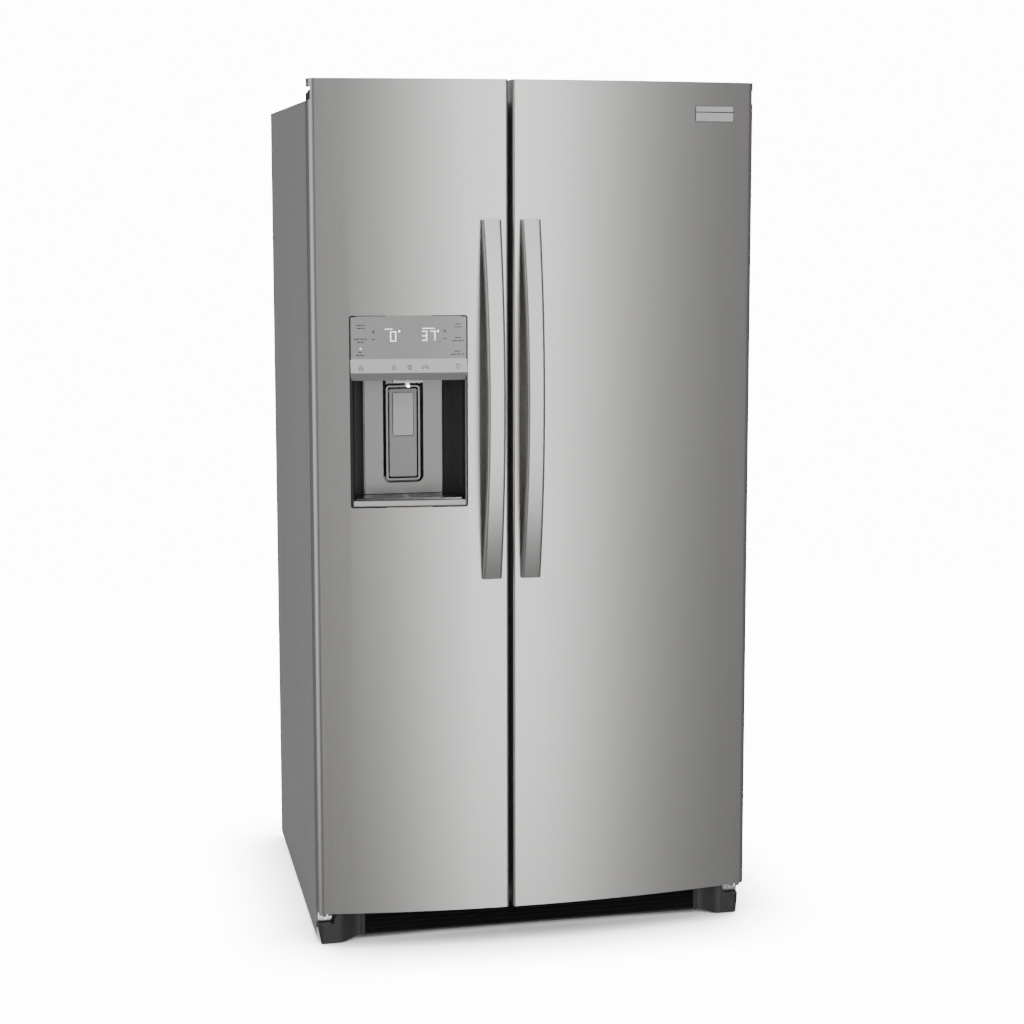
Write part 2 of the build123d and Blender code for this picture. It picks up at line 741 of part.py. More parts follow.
def housing_solid():
    """The dispenser housing before it is hollowed out."""
    middle = dispenser_middle
    cavity_plan(3, (dispenser_z[0], cavity_z[1] + 3))
    block((middle - dispenser_half, middle + dispenser_half), (door_front - 60, door_front - 2), dispenser_z)
    chute_x = (middle - chute_half - 2.5, middle + chute_half + 2.5)
    side_prism(chute_outline(2.5), chute_x)
    pocket_x = (middle - pocket_half - 2.5, middle + pocket_half + 2.5)
    block(pocket_x, (cavity_back - 5, pocket_back + 2.5), (pocket_z[0] - 2.5, pocket_z[1] + 2.5))


def housing_hull():
    """The housing as one plug, to cut the foam with."""
    with BuildPart() as hull:
        housing_solid()
    return hull.part


def make_dispenser_housing():
    """The moulded recess with its narrow rim, paddle pocket and ice chute."""
    middle = dispenser_middle
    with BuildPart() as housing:
        housing_solid()
        with Locations((0, bow_centre, (dispenser_z[0] + dispenser_z[1]) / 2)):
            Cylinder(bow_radius + 0.6, 500, mode=Mode.INTERSECT)
        rounded_block(
            (middle - dispenser_half, middle + dispenser_half),
            (door_front - 80, back),
            dispenser_z,
            5,
            Mode.INTERSECT,
        )
        cavity_plan(0, cavity_z, Mode.SUBTRACT)
        side_prism(chute_outline(0), (middle - chute_half, middle + chute_half), Mode.SUBTRACT)
        mouth_x = (middle - chute_half, middle + chute_half)
        block(mouth_x, (door_front + 90, rib_back), chute_mouth_z, Mode.SUBTRACT)
        pocket_x = (middle - pocket_half, middle + pocket_half)
        rounded_block(pocket_x, (cavity_back - 6, pocket_back), pocket_z, 14, Mode.SUBTRACT)
        # The seats of the control panel and of the sill.
        seat = [(-9, cavity_z[1]), (3, cavity_z[1]), (3, dispenser_z[1] + 1), (-9, dispenser_z[1] + 1)]
        bow_ring(seat, (middle - 117, middle + 117), (cavity_z[1], dispenser_z[1] + 1), 0.5, Mode.SUBTRACT)
        low, high = dispenser_z[0] - 1, cavity_z[0] + 1
        sill = [(-8, low), (3, low), (3, high), (-8, high)]
        bow_ring(sill, (middle - 112, middle + 112), (low + 3, high), 0.5, Mode.SUBTRACT)
        # The hollow behind the control panel, for its circuit board.
        low, high = cavity_z[1] + 4, dispenser_z[1] - 4
        hollow = [(-24, low), (-8, low), (-8, high), (-24, high)]
        bow_ring(hollow, (middle - 110, middle + 110), (low, high), 2, Mode.SUBTRACT)
    save(housing, "dispenser_housing")


def make_control_panel():
    """Flat display above, then a strip that flares forward over a tucked-under apron."""
    low = cavity_z[1]
    with BuildPart() as panel:
        profile = [
            (-9, dispenser_z[1]),
            (0.6, dispenser_z[1]),
            (0.6, strip_top),
            (6.5, panel_bottom + 1.5),
            (6.5, panel_bottom),
            (-5, low),
            (-9, low),
        ]
        x = (dispenser_middle - dispenser_half + 0.3, dispenser_middle + dispenser_half - 0.3)
        bow_ring(profile, x, (low - 20, dispenser_z[1]), 5)
    save(panel, "control_panel")


def make_drip_sill():
    """The bevelled bright sill across the front of the recess."""
    low = dispenser_z[0] + 2.2
    with BuildPart() as sill:
        profile = [(-8, low), (0.5, low), (3, low + 1.5), (0.8, cavity_z[0] + 0.6), (-8, cavity_z[0] + 0.6)]
        x = (dispenser_middle - 111.5, dispenser_middle + 111.5)
        bow_ring(profile, x, (low, cavity_z[0] + 0.6), 0.5)
    save(sill, "drip_sill")


def make_drip_grille():
    """The lift-out grille over the drip tray: a rim and cross slots."""
    middle = dispenser_middle
    with BuildPart() as grille:
        cavity_plan(-6, grille_plate_z)
        with Locations((0, bow_centre, grille_plate_z[0])):
            Cylinder(bow_radius - 12, 20, mode=Mode.INTERSECT)
        for row in range(5):
            y = door_front - 4 + row * 11
            half_slot = 88 - row * 6
            for x in (middle - half_slot / 2 - 3, middle + half_slot / 2 + 3):
                block((x - half_slot / 2 + 2, x + half_slot / 2 - 2), (y, y + 6), (900, 940), Mode.SUBTRACT)
    save(grille, "drip_grille")


def make_recess_panel():
    """The light satin panel that lines the back of the recess."""
    middle = dispenser_middle
    with BuildPart() as panel:
        z = (cavity_z[0] + 5, cavity_z[1] - 1)
        rounded_block((middle - 79, middle + 79), (cavity_back - 4, cavity_back - 0.4), z, 1)
        opening_x = (middle - pocket_half, middle + pocket_half)
        rounded_block(opening_x, (cavity_back - 8, cavity_back + 2), pocket_z, 14, Mode.SUBTRACT)
        # The bead that frames the paddle inside its pocket.
        rounded_block((middle - 35, middle + 35), (cavity_back - 3, pocket_back), (964, 1158), 7)
        opening_y = (cavity_back - 5, pocket_back + 1)
        rounded_block((middle - 31, middle + 31), opening_y, (967.5, 1154.5), 4, Mode.SUBTRACT)
    save(panel, "recess_panel")


def make_paddle():
    middle = dispenser_middle
    with BuildPart() as paddle:
        plate_x = (middle - paddle_half, middle + paddle_half)
        rounded_block(plate_x, (cavity_back - 2, cavity_back + 2), paddle_z, 3)
        rounded_block((middle - 20.5, middle + 20.5), (cavity_back - 4, cavity_back - 2), (1056, 1143), 2)
        rod_x(paddle_pivot_y, paddle_pivot_z, (middle - 30.6, middle + 30.6), 3)
        for rib in (-24, 24):
            block((middle + rib - 1, middle + rib + 1), (cavity_back + 2, cavity_back + 6), (980, 1140))
    save(paddle, "dispenser_paddle")


def make_nozzle():
    """The water spout and the lamp over the glass."""
    middle = dispenser_middle
    with BuildPart() as nozzle:
        block((middle - 30, middle + 30), (door_front - 16, door_front + 4), (cavity_z[1] - 5, cavity_z[1]))
        rod_z(middle, door_front - 3, (cavity_z[1] - 14, cavity_z[1] - 5), 5)
        rod_z(middle, door_front - 3, (cavity_z[1] - 15, cavity_z[1] - 7), 3, Mode.SUBTRACT)
    save(nozzle, "water_nozzle")


def make_chute_flap():
    middle = dispenser_middle
    with BuildPart() as flap:
        block((middle - 26.5, middle + 26.5), (flap_y - 1, flap_y + 1), (1226, flap_z))
        rod_x(flap_y, flap_z, (middle - 27.5, middle + 27.5), 2)
    save(flap, "chute_flap")


# ---------------------------------------------------------------- freezer fittings
def make_freezer_shelves():
    """Two moulded shelves and the deck under the ice bin."""
    with BuildPart() as shelves:
        for height in (560.0, 820.0, 1178.0):
            x = (freezer_x[0] + 1, freezer_x[1] - 1)
            block(x, shelf_y, (height, height + 8))
            window_y = (shelf_y[0] + 14, shelf_y[1] - 14)
            block((x[0] + 12, x[1] - 12), window_y, (height - 1, height + 4), Mode.SUBTRACT)
            for slot in range(12):
                y = shelf_y[0] + 30 + slot * 38
                block((x[0] + 20, x[1] - 20), (y, y + 16), (height - 1, height + 9), Mode.SUBTRACT)
            block(x, (shelf_y[0] - 3, shelf_y[0]), (height - 4, height + 14))
    save(shelves, "freezer_shelves")


def make_freezer_basket():
    """The pull-out basket, with slotted sides."""
    x = (freezer_x[0] + 10, freezer_x[1] - 10)
    y = (-90.0, 140.0)
    z = (158.0, 320.0)
    with BuildPart() as basket:
        tray(x, y, z, 3)
        block((x[0] - 5, x[1] + 5), y, (z[1] - 4, z[1]))
        block((x[0] + 3, x[1] - 3), (y[0] + 3, y[1] - 3), (z[1] - 5, z[1] + 1), Mode.SUBTRACT)
        for slot in range(6):
            low = z[0] + 22 + slot * 20
            block((x[0] - 6, x[1] + 6), (y[0] + 20, y[1] - 20), (low, low + 9), Mode.SUBTRACT)
            block((x[0] + 25, x[1] - 25), (y[0] - 1, y[0] + 4), (low, low + 9), Mode.SUBTRACT)
    save(basket, "freezer_basket")


def make_ice_bin():
    with BuildPart() as ice_bin:
        tray(ice_bin_x, ice_bin_y, ice_bin_z, 3)
        hole_x = (dispenser_middle - 24, dispenser_middle + 24)
        block(hole_x, (ice_bin_y[0] - 1, ice_bin_y[0] + 4), (1226, 1278), Mode.SUBTRACT)
    save(ice_bin, "ice_bin")


def make_ice_auger():
    """The drive bar along the bin with its bent paddles."""
    with BuildPart() as auger:
        y = (ice_bin_y[0] + 12, ice_bin_y[1] - 5)
        rod_y(auger_x, auger_z, y, 5)
        for turn in range(12):
            at = y[0] + 14 + turn * 38
            with BuildSketch(front_view(at)) as blade:
                with Locations((auger_x, auger_z)):
                    Rectangle(76, 9, rotation=turn * 50)
            extrude(blade.sketch, amount=-5)
    save(auger, "ice_auger")


def make_ice_maker():
    """The ice mould with its fins, motor head and water cup, on the freezer's left wall."""
    with BuildPart() as maker:
        x = (freezer_x[0] + 1, -280.0)
        block((x[0], x[1]), (0, 250), (1500, 1560))
        block((x[0] + 12, x[1] - 12), (12, 238), (1512, 1561), Mode.SUBTRACT)
        for fin in range(7):
            y = 40 + fin * 28
            block((x[0] + 12, x[1] - 12), (y, y + 4), (1512, 1545))
        block((x[0], x[1] - 6), (-60, 0), (1490, 1590))
        fillet(maker.edges().filter_by(Axis.Z).group_by(Axis.Y)[0], 8)
        block((x[0], x[0] + 50), (250, 290), (1545, 1590))
    save(maker, "ice_maker")


def make_ice_maker_arm():
    """The wire that swings up to stop the ice maker."""
    with BuildPart() as arm:
        x = -277.0
        rod_x(arm_pivot[0], arm_pivot[1], (-285.5, x + 2), 3)
        block((x - 2, x + 2), (arm_pivot[0] - 2, arm_pivot[0] + 2), (1440, arm_pivot[1]))
        block((x - 2, x + 2), (arm_pivot[0] - 2, 180), (1440, 1444))
    save(arm, "ice_maker_arm")


def make_evaporator():
    """A finned coil: rows of tube through closely spaced plates."""
    with BuildPart() as evaporator:
        middle_y = (evaporator_y[0] + evaporator_y[1]) / 2
        for row in range(6):
            rod_x(middle_y, 430 + row * 44, (freezer_x[0] + 14, freezer_x[1] - 14), 4)
        for fin in range(22):
            x = freezer_x[0] + 24 + fin * 12.2
            block((x, x + 1), evaporator_y, (405, 675))
    save(evaporator, "evaporator")


def make_air_covers():
    """The white cover over the coil, with its air grille and slots, and the fridge's air duct."""
    x = (freezer_x[0] + 2, freezer_x[1] - 2)
    with BuildPart() as cover:
        rounded_block(x, (349, 351.5), (step_top + 1, 1660), 6)
        for edge in (x[0], x[1] - 3):
            block((edge, edge + 3), (351.5, 372.5), (step_top + 10, 1640))
        for ring, count in ((16, 6), (30, 11), (44, 16)):
            with BuildSketch(front_view(348)) as holes:
                with Locations((fan_x, fan_z)):
                    with PolarLocations(ring, count):
                        Circle(5)
            extrude(holes.sketch, amount=-5, mode=Mode.SUBTRACT)
        for row in range(5):
            for z in (1440, 380):
                low = z + row * 12
                block((fan_x - 80, fan_x + 80), (348, 352), (low, low + 5), Mode.SUBTRACT)
        # The air duct up the back wall of the fridge, with its outlets.
        rounded_block((165, 225), (361, inside_back - 0.2), (600, 1600), 8)
        for row in range(6):
            low = 700 + row * 150
            block((178, 212), (360, 370), (low, low + 40), Mode.SUBTRACT)
    save(cover, "air_covers")


def fan_rotor(x, y, z, radius, length, blades):
    """A hub with pitched blades, turning about an axis along Y."""
    rod_y(x, z, (y, y + length), radius * 0.28)
    for blade in range(blades):
        pitched = Plane(origin=(0, 0, radius * 0.2), x_dir=(0.82, 0.57, 0), z_dir=(0, 0, 1))
        with BuildPart(mode=Mode.PRIVATE) as vane:
            with BuildSketch(pitched):
                Rectangle(radius * 0.5, 1.6)
            extrude(amount=radius * 0.78)
        add(Pos(x, y + length / 2, z) * Rot(0, 360 / blades * blade, 0) * vane.part)


def make_evaporator_fan():
    with BuildPart() as fan:
        fan_rotor(fan_x, 357.0, fan_z, 50.0, 9.0, 5)
    save(fan, "evaporator_fan")


# ---------------------------------------------------------------- fridge fittings
def make_shelf_tracks():
    """Two slotted uprights on the back wall."""
    with BuildPart() as tracks:
        for low in track_x:
            block((low, low + track_width), (367, inside_back), (580, 1640))
            for slot in range(26):
                z = 600 + slot * 40
                block((low + 7, low + 13), (366, inside_back - 1.5), (z, z + 12), Mode.SUBTRACT)
    save(tracks, "shelf_tracks")


def make_fridge_shelf_frames():
    """Rimmed frames with two bracket arms each, hooked on the tracks."""
    with BuildPart() as frames:
        for height in fridge_shelf_heights:
            block(shelf_x, (-150, 358), (height, height + 14))
            block((shelf_x[0] + 10, shelf_x[1] - 10), (-138, 348), (height - 1, height + 15), Mode.SUBTRACT)
            block((shelf_x[0] + 6, shelf_x[1] - 6), (-144, 354), (height + 7.8, height + 12.2), Mode.SUBTRACT)
            for low in track_x:
                arm_x = (low + 7.5, low + 12.5)
                top, low = height + 4, height - 26
                arm = [(-100, top), (-100, height), (340, low), (366.8, low), (366.8, top)]
                side_prism(arm, arm_x)
        # The frame of the cover over the drawers, with a slot for the humidity slider.
        x = (fridge_x[0] + 2, fridge_x[1] - 2)
        block(x, (cover_front, 364), (540.5, 556))
        block((x[0] + 16, x[1] - 16), (cover_front + 18, 350), (539, 557), Mode.SUBTRACT)
        block((x[0] + 12, x[1] - 12), (cover_front + 14, 354), (547.8, 552.2), Mode.SUBTRACT)
        block((x[0] + 190, x[0] + 250), (cover_front - 2, cover_front + 10), (545, 551), Mode.SUBTRACT)
    save(frames, "fridge_shelf_frames")


def make_fridge_shelf_glass():
    with BuildPart() as panes:
        for height in fridge_shelf_heights:
            block((shelf_x[0] + 6.2, shelf_x[1] - 6.2), (-143.8, 353.8), (height + 8, height + 12))
        block((fridge_x[0] + 14.2, fridge_x[1] - 14.2), (cover_front + 14.2, 353.8), (548, 552))
    save(panes, "fridge_shelf_glass")


def make_crisper(y_back, z, label):
    """A clear drawer with side lips and a scooped pull."""
    with BuildPart() as crisper:
        y = (crisper_front, y_back)
        tray(crisper_x, y, z, 3)
        block((crisper_x[0] - 5, crisper_x[0]), (y[0] + 5, y[1]), (z[1] - 4, z[1]))
        block((crisper_x[1], crisper_x[1] + 5), (y[0] + 5, y[1]), (z[1] - 4, z[1]))
        middle = (crisper_x[0] + crisper_x[1]) / 2
        block((middle - 90, middle + 90), (y[0] - 14, y[0]), (z[1] - 6, z[1] - 2))
        block((middle - 90, middle + 90), (y[0] - 14, y[0] - 11), (z[1] - 22, z[1] - 2))
    save(crisper, label)


def make_humidity_slider():
    middle = fridge_x[0] + 2 + 220
    with BuildPart() as slider:
        block((middle - 8, middle + 8), (cover_front - 3, cover_front + 4), (545.5, 550.5))
        block((middle - 3, middle + 3), (cover_front - 7, cover_front - 3), (545.5, 550.5))
    save(slider, "humidity_slider")


def make_light_lenses():
    """Frosted covers over the lamps in both compartments."""
    with BuildPart() as lenses:
        for middle in ((freezer_x[0] + freezer_x[1]) / 2, (fridge_x[0] + fridge_x[1]) / 2):
            with Locations((middle, -60, inside_z[1] - 7)):
                Box(150, 90, 14)
        fillet(lenses.edges().filter_by(Axis.Z), 12)
        fillet(lenses.faces().group_by(Axis.Z)[0].edges(), 5)
    save(lenses, "light_lenses")


# ---------------------------------------------------------------- machine compartment
def make_compressor():
    """A domed steel can on a foot plate, with its terminal cover and stub pipes."""
    with BuildPart() as compressor:
        base = machine_floor + 18
        with BuildSketch(Plane.XY.offset(base)) as plan:
            with Locations((compressor_x, compressor_y)):
                Ellipse(92, 72)
        extrude(plan.sketch, amount=150)
        fillet(compressor.edges().group_by(Axis.Z)[-1], 45)
        fillet(compressor.edges().group_by(Axis.Z)[0], 20)
        seam_x = (compressor_x - 105, compressor_x + 105)
        block(seam_x, (compressor_y - 58, compressor_y + 58), (base - 3, base + 3))
        box_x = (compressor_x - 120, compressor_x - 80)
        block(box_x, (compressor_y - 30, compressor_y + 30), (base + 40, base + 100))
        for x, y in ((30, 20), (-30, 30), (45, -20)):
            rod_z(compressor_x + x, compressor_y + y, (base + 120, base + 165), 4)
    save(compressor, "compressor")


def make_condenser():
    """A block of fins on a serpentine tube."""
    with BuildPart() as condenser:
        for row in range(3):
            for column in range(5):
                rod_x(250 + row * 40, 90 + column * 36, (condenser_x[0], condenser_x[1]), 4)
        for fin in range(24):
            x = condenser_x[0] + 3 + fin * 8
            block((x, x + 1), (230, 350), (machine_floor + 30, 260))
    save(condenser, "condenser")


def make_fan_motor():
    """The condenser fan's shroud, motor and bracket."""
    x, y, z = machine_fan
    with BuildPart() as motor:
        block((x - 75, x + 75), (y, y + 40), (machine_floor + 2, z + 75))
        rod_y(x, z, (y - 1, y + 41), 64, Mode.SUBTRACT)
        rod_y(x, z, (y + 40, y + 74), 22)
        block((x - 72, x + 72), (y + 40, y + 44), (z - 6, z + 6))
        rod_y(x, z, (y + 39, y + 43), 2.05, Mode.SUBTRACT)
    save(motor, "fan_motor")


def make_condenser_fan():
    x, y, z = machine_fan
    with BuildPart() as fan:
        fan_rotor(x, y + 12, z, 60.0, 20.0, 5)
        rod_y(x, z, (y + 31, y + 42), 2)
    save(fan, "condenser_fan")


def make_water_valve():
    """The inlet valve at the back, with the stub that the house supply screws on to."""
    with BuildPart() as valve:
        block((valve_x - 22, valve_x + 22), (380, 424), (70, 120))
        rod_z(valve_x, 402, (120, 160), 14)
        rod_y(valve_x, 92, (424, back - 0.5), inlet_radius)
        rod_y(valve_x, 92, (424, 430), 11)
        block((valve_x - 30, valve_x + 30), (400, 404), (machine_floor + 2, 70))
    save(valve, "water_valve")


def make_rear_cover():
    """The removable louvred board over the machine compartment."""
    with BuildPart() as cover:
        block((-half + 4, half - 4), (back - 2, back), (44, machine_top + 8))
        for column in range(10):
            for row in range(7):
                x = -180 + column * 42
                z = 100 + row * 24
                block((x - 15, x + 15), (back - 3, back + 1), (z, z + 8), Mode.SUBTRACT)
        block((valve_x - 20, valve_x + 20), (back - 3, back + 1), (72, 112), Mode.SUBTRACT)
        rod_y(cord_inlet[0], cord_inlet[1], (back - 3, back + 1), inlet_bore + 3, Mode.SUBTRACT)
    save(cover, "rear_cover")


def make_grommets():
    """Rubber mounts under the compressor, and the grommet that the supply lead passes through."""
    with BuildPart() as grommets:
        for x in (-92, 92):
            for y in (-46, 46):
                rod_z(compressor_x + x, compressor_y + y, (machine_floor + 2, machine_floor + 15), 10)
        rod_y(cord_inlet[0], cord_inlet[1], (back - 14, back - 2), inlet_bore + 7)
        rod_y(cord_inlet[0], cord_inlet[1], (back - 2, back), inlet_bore + 3)
        rod_y(cord_inlet[0], cord_inlet[1], (back - 15, back + 1), inlet_bore, Mode.SUBTRACT)
    save(grommets, "grommets")


# ---------------------------------------------------------------- the whole refrigerator
def make_cabinet():
    make_outer_wrapper()
    make_back_panel()
    make_base_frame()
    # Each runner is (low, high, how far back, reach from the wall).
    freezer_runners = ((310, 315.5, 145, 9),)
    fridge_runners = ((315, 318, 140, 12.5), (505, 508, 362, 12.5), (532, 540, 366, 12))
    make_liner(freezer_x, (-half + flange + 1.5, -61.8), freezer_runners, "freezer_liner")
    make_liner(fridge_x, (-61.2, half - flange - 1.5), fridge_runners, "fridge_liner")
    make_cabinet_foam()
    make_toe_grille()
    make_foot_covers()
    make_pair((top_hinge, bottom_hinge), "door_hinges")
    make_pair((hinge_cover,), "hinge_covers")
    for side, name in ((-1, "left"), (1, "right")):
        make_leveling_leg(side, f"leveling_leg_{name}")
    make_rollers(front_roller_y, front_roller_z, "front_rollers")
    make_rollers(rear_roller_y, roller_radius, "rear_rollers")


def make_door_shell(outer, inner, side, ribs, name):
    """The parts that both doors have."""
    make_door_skin(outer, inner, side, f"{name}_door_skin")
    make_door_caps(outer, inner, side, f"{name}_door_caps")
    make_door_liner(ribs, outer, inner, side, f"{name}_door_liner")
    make_door_foam(outer, inner, side, f"{name}_door_foam")
    make_gasket(outer, inner, side, f"{name}_gasket")
    make_handle(sum(door_gap) / 2 + side * handle_inset, f"{name}_handle")


def make_freezer_door():
    make_door_shell(-half, door_gap[0], -1, freezer_rib_x, "freezer")
    bins_at = [(200.0, shallow_bin)] + [(low, deep_bin) for low in (430.0, 660.0, 1345.0, 1500.0)]
    make_door_bins(freezer_rib_x, bins_at, "freezer_door_bins")
    make_dispenser_housing()
    make_control_panel()
    make_drip_sill()
    make_drip_grille()
    make_recess_panel()
    make_paddle()
    make_nozzle()
    make_chute_flap()


def make_fridge_door():
    make_door_shell(half, door_gap[1], 1, fridge_rib_x, "fridge")
    bins_at = ((200.0, shallow_bin), (430.0, shallow_bin), (720.0, deep_bin), (1060.0, deep_bin))
    make_door_bins(fridge_rib_x, bins_at, "fridge_door_bins")
    make_dairy_lid()


def make_inside():
    make_freezer_shelves()
    make_freezer_basket()
    make_ice_bin()
    make_ice_auger()
    make_ice_maker()
    make_ice_maker_arm()
    make_evaporator()
    make_air_covers()
    make_evaporator_fan()
    make_shelf_tracks()
    make_fridge_shelf_frames()
    make_fridge_shelf_glass()
    make_crisper(140.0, (158.0, 322.0), "crisper_lower")
    make_crisper(360.0, (346.0, 512.0), "crisper_upper")
    make_humidity_slider()
    make_light_lenses()


def make_machinery():
    make_compressor()
    make_condenser()
    make_fan_motor()
    make_condenser_fan()
    make_water_valve()
    make_rear_cover()
    make_grommets()


os.makedirs("parts", exist_ok=True)
make_cabinet()
make_freezer_door()
make_fridge_door()
make_inside()
make_machinery()
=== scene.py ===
"""Side by side refrigerator: finishes, panel graphics, badge, lamps and fixings round the CAD frame."""
import math

import bmesh
import bpy
from mathutils import Euler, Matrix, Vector


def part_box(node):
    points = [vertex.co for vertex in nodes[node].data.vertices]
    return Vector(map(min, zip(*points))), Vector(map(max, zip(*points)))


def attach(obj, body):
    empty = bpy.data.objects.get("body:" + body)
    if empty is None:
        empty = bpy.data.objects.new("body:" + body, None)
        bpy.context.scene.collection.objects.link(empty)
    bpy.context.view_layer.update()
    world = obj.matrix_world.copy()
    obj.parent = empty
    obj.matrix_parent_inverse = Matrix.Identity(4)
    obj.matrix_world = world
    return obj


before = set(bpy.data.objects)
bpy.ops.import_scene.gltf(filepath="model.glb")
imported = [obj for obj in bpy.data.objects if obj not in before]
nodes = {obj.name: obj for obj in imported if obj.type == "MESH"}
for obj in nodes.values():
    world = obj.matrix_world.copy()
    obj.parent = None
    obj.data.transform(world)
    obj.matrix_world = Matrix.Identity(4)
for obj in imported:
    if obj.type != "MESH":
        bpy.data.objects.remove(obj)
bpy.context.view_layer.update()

MM = 0.001

# The control panel, measured down from its top edge.
DISPLAY_HEIGHT = 85 * MM
STRIP_END = 113 * MM
STRIP_COLOUR_END = 112.2 * MM


# ---------------------------------------------------------------- camera
CAMERA_PLACE = (-0.913, -4.410, 1.549)
CAMERA_YAW = math.radians(12.52)
CAMERA_PITCH = math.radians(7.16)
SENSOR = 36.0
FOCAL_LENGTH = 72.3
LENS_SHIFT = (-0.0195, -0.0605)

camera_data = bpy.data.cameras.new("camera")
camera_data.lens = FOCAL_LENGTH
camera_data.sensor_width = SENSOR
camera_data.shift_x, camera_data.shift_y = LENS_SHIFT
camera_data.clip_end = 60
camera = bpy.data.objects.new("camera", camera_data)
camera.location = CAMERA_PLACE
camera.rotation_euler = Euler((math.pi / 2 - CAMERA_PITCH, 0, -CAMERA_YAW))
bpy.context.scene.collection.objects.link(camera)
bpy.context.scene.camera = camera


# ---------------------------------------------------------------- node helpers
class Shader:
    """A material under construction: one Principled shader and short calls for the nodes before it."""

    def __init__(self, name, colour, roughness, metallic=0.0, **values):
        self.material = bpy.data.materials.new(name)
        self.material.use_nodes = True
        self.tree = self.material.node_tree
        self.bsdf = self.tree.nodes["Principled BSDF"]
        self.set("Base Color", (*colour, 1))
        self.set("Roughness", roughness)
        self.set("Metallic", metallic)
        for socket, value in values.items():
            self.set(socket.replace("_", " "), value)
        self.material.diffuse_color = (*colour, 1)
        self.coordinates = self.node("ShaderNodeTexCoord").outputs["Object"]

    def set(self, socket, value):
        self.bsdf.inputs[socket].default_value = value

    def node(self, kind, **values):
        made = self.tree.nodes.new(kind)
        for key, value in values.items():
            setattr(made, key, value)
        return made

    def join(self, output, socket):
        self.tree.links.new(output, socket)

    def scaled(self, scale):
        """Object coordinates stretched by scale, so that a noise gets the grain's direction."""
        mapping = self.node("ShaderNodeMapping")
        mapping.inputs["Scale"].default_value = scale
        self.join(self.coordinates, mapping.inputs["Vector"])
        return mapping.outputs["Vector"]

    def noise(self, scale, size=1.0, detail=3.0, rough=0.5):
        made = self.node("ShaderNodeTexNoise")
        made.inputs["Scale"].default_value = size
        made.inputs["Detail"].default_value = detail
        made.inputs["Roughness"].default_value = rough
        self.join(self.scaled(scale), made.inputs["Vector"])
        return made.outputs["Fac"]

    def spread(self, value, low, high, start=0.3, end=0.7):
        """Maps value from start..end to low..high."""
        made = self.node("ShaderNodeMapRange")
        for socket, number in zip(("From Min", "From Max", "To Min", "To Max"), (start, end, low, high)):
            made.inputs[socket].default_value = number
        self.join(value, made.inputs["Value"])
        return made.outputs["Result"]

    def math(self, operation, first, second):
        made = self.node("ShaderNodeMath", operation=operation)
        for socket, value in zip(made.inputs, (first, second)):
            if isinstance(value, (int, float)):
                socket.default_value = value
            else:
                self.join(value, socket)
        return made.outputs[0]

    def mix(self, factor, first, second):
        """A colour between first and second."""
        made = self.node("ShaderNodeMix", data_type="RGBA")
        self.join(factor, made.inputs["Factor"])
        for socket, value in ((made.inputs[6], first), (made.inputs[7], second)):
            if isinstance(value, tuple):
                socket.default_value = (*value, 1)
            else:
                self.join(value, socket)
        return made.outputs[2]

    def axis(self, index):
        """One object coordinate, in metres."""
        made = self.node("ShaderNodeSeparateXYZ")
        self.join(self.coordinates, made.inputs[0])
        return made.outputs[index]

    def colour(self, output):
        self.join(output, self.bsdf.inputs["Base Color"])
        return self

    def roughness(self, output):
        self.join(output, self.bsdf.inputs["Roughness"])
        return self

    def bump(self, height, strength, distance):
        made = self.node("ShaderNodeBump")
        made.inputs["Strength"].default_value = strength
        made.inputs["Distance"].default_value = distance
        self.join(height, made.inputs["Height"])
        self.join(made.outputs["Normal"], self.bsdf.inputs["Normal"])
        return self


def shade(colour, amount):
    """The colour made lighter or darker by a factor."""
    return tuple(max(0.0, min(1.0, part * amount)) for part in colour)


# ---------------------------------------------------------------- materials
def brushed_steel(name, colour, rough, grain=(900, 900, 3.0), contrast=0.05):
    """Steel with fine streaks along the long direction of grain."""
    made = Shader(name, colour, rough, 1.0)
    fine = made.noise(grain, 1.0, 4.0, 0.65)
    broad = made.noise(tuple(part * 0.07 for part in grain), 1.0, 2.0)
    streaks = made.math("ADD", made.math("MULTIPLY", fine, 0.7), made.math("MULTIPLY", broad, 0.3))
    made.colour(made.mix(made.spread(streaks, 0, 1), shade(colour, 1 - contrast), shade(colour, 1 + contrast)))
    made.roughness(made.spread(fine, rough - 0.015, rough + 0.015))
    made.bump(fine, 0.03, 0.0001)
    return made.material


def moulded(name, colour, rough, grain=900.0, depth=0.05, speckle=0.06, **values):
    """Moulded plastic: a fine spark-eroded grain, faint flow marks and slight colour drift."""
    made = Shader(name, colour, rough, **values)
    fine = made.noise((grain,) * 3, 1.0, 2.0)
    drift = made.noise((9, 9, 4), 1.0, 3.0)
    made.colour(made.mix(made.spread(drift, 0, 1), shade(colour, 1 - speckle), shade(colour, 1 + speckle)))
    made.roughness(made.spread(drift, rough - 0.04, rough + 0.05))
    made.bump(fine, depth, 0.0003)
    return made.material


def clear_plastic(name, colour, rough=0.06):
    """Tinted clear plastic or glass."""
    made = Shader(name, colour, rough, Transmission_Weight=0.92, IOR=1.49, Specular_IOR_Level=0.5)
    drift = made.noise((14, 14, 6), 1.0, 2.0)
    made.colour(made.mix(made.spread(drift, 0, 1), shade(colour, 0.97), shade(colour, 1.02)))
    made.roughness(made.spread(drift, rough, rough + 0.05))
    made.bump(drift, 0.02, 0.001)
    return made.material


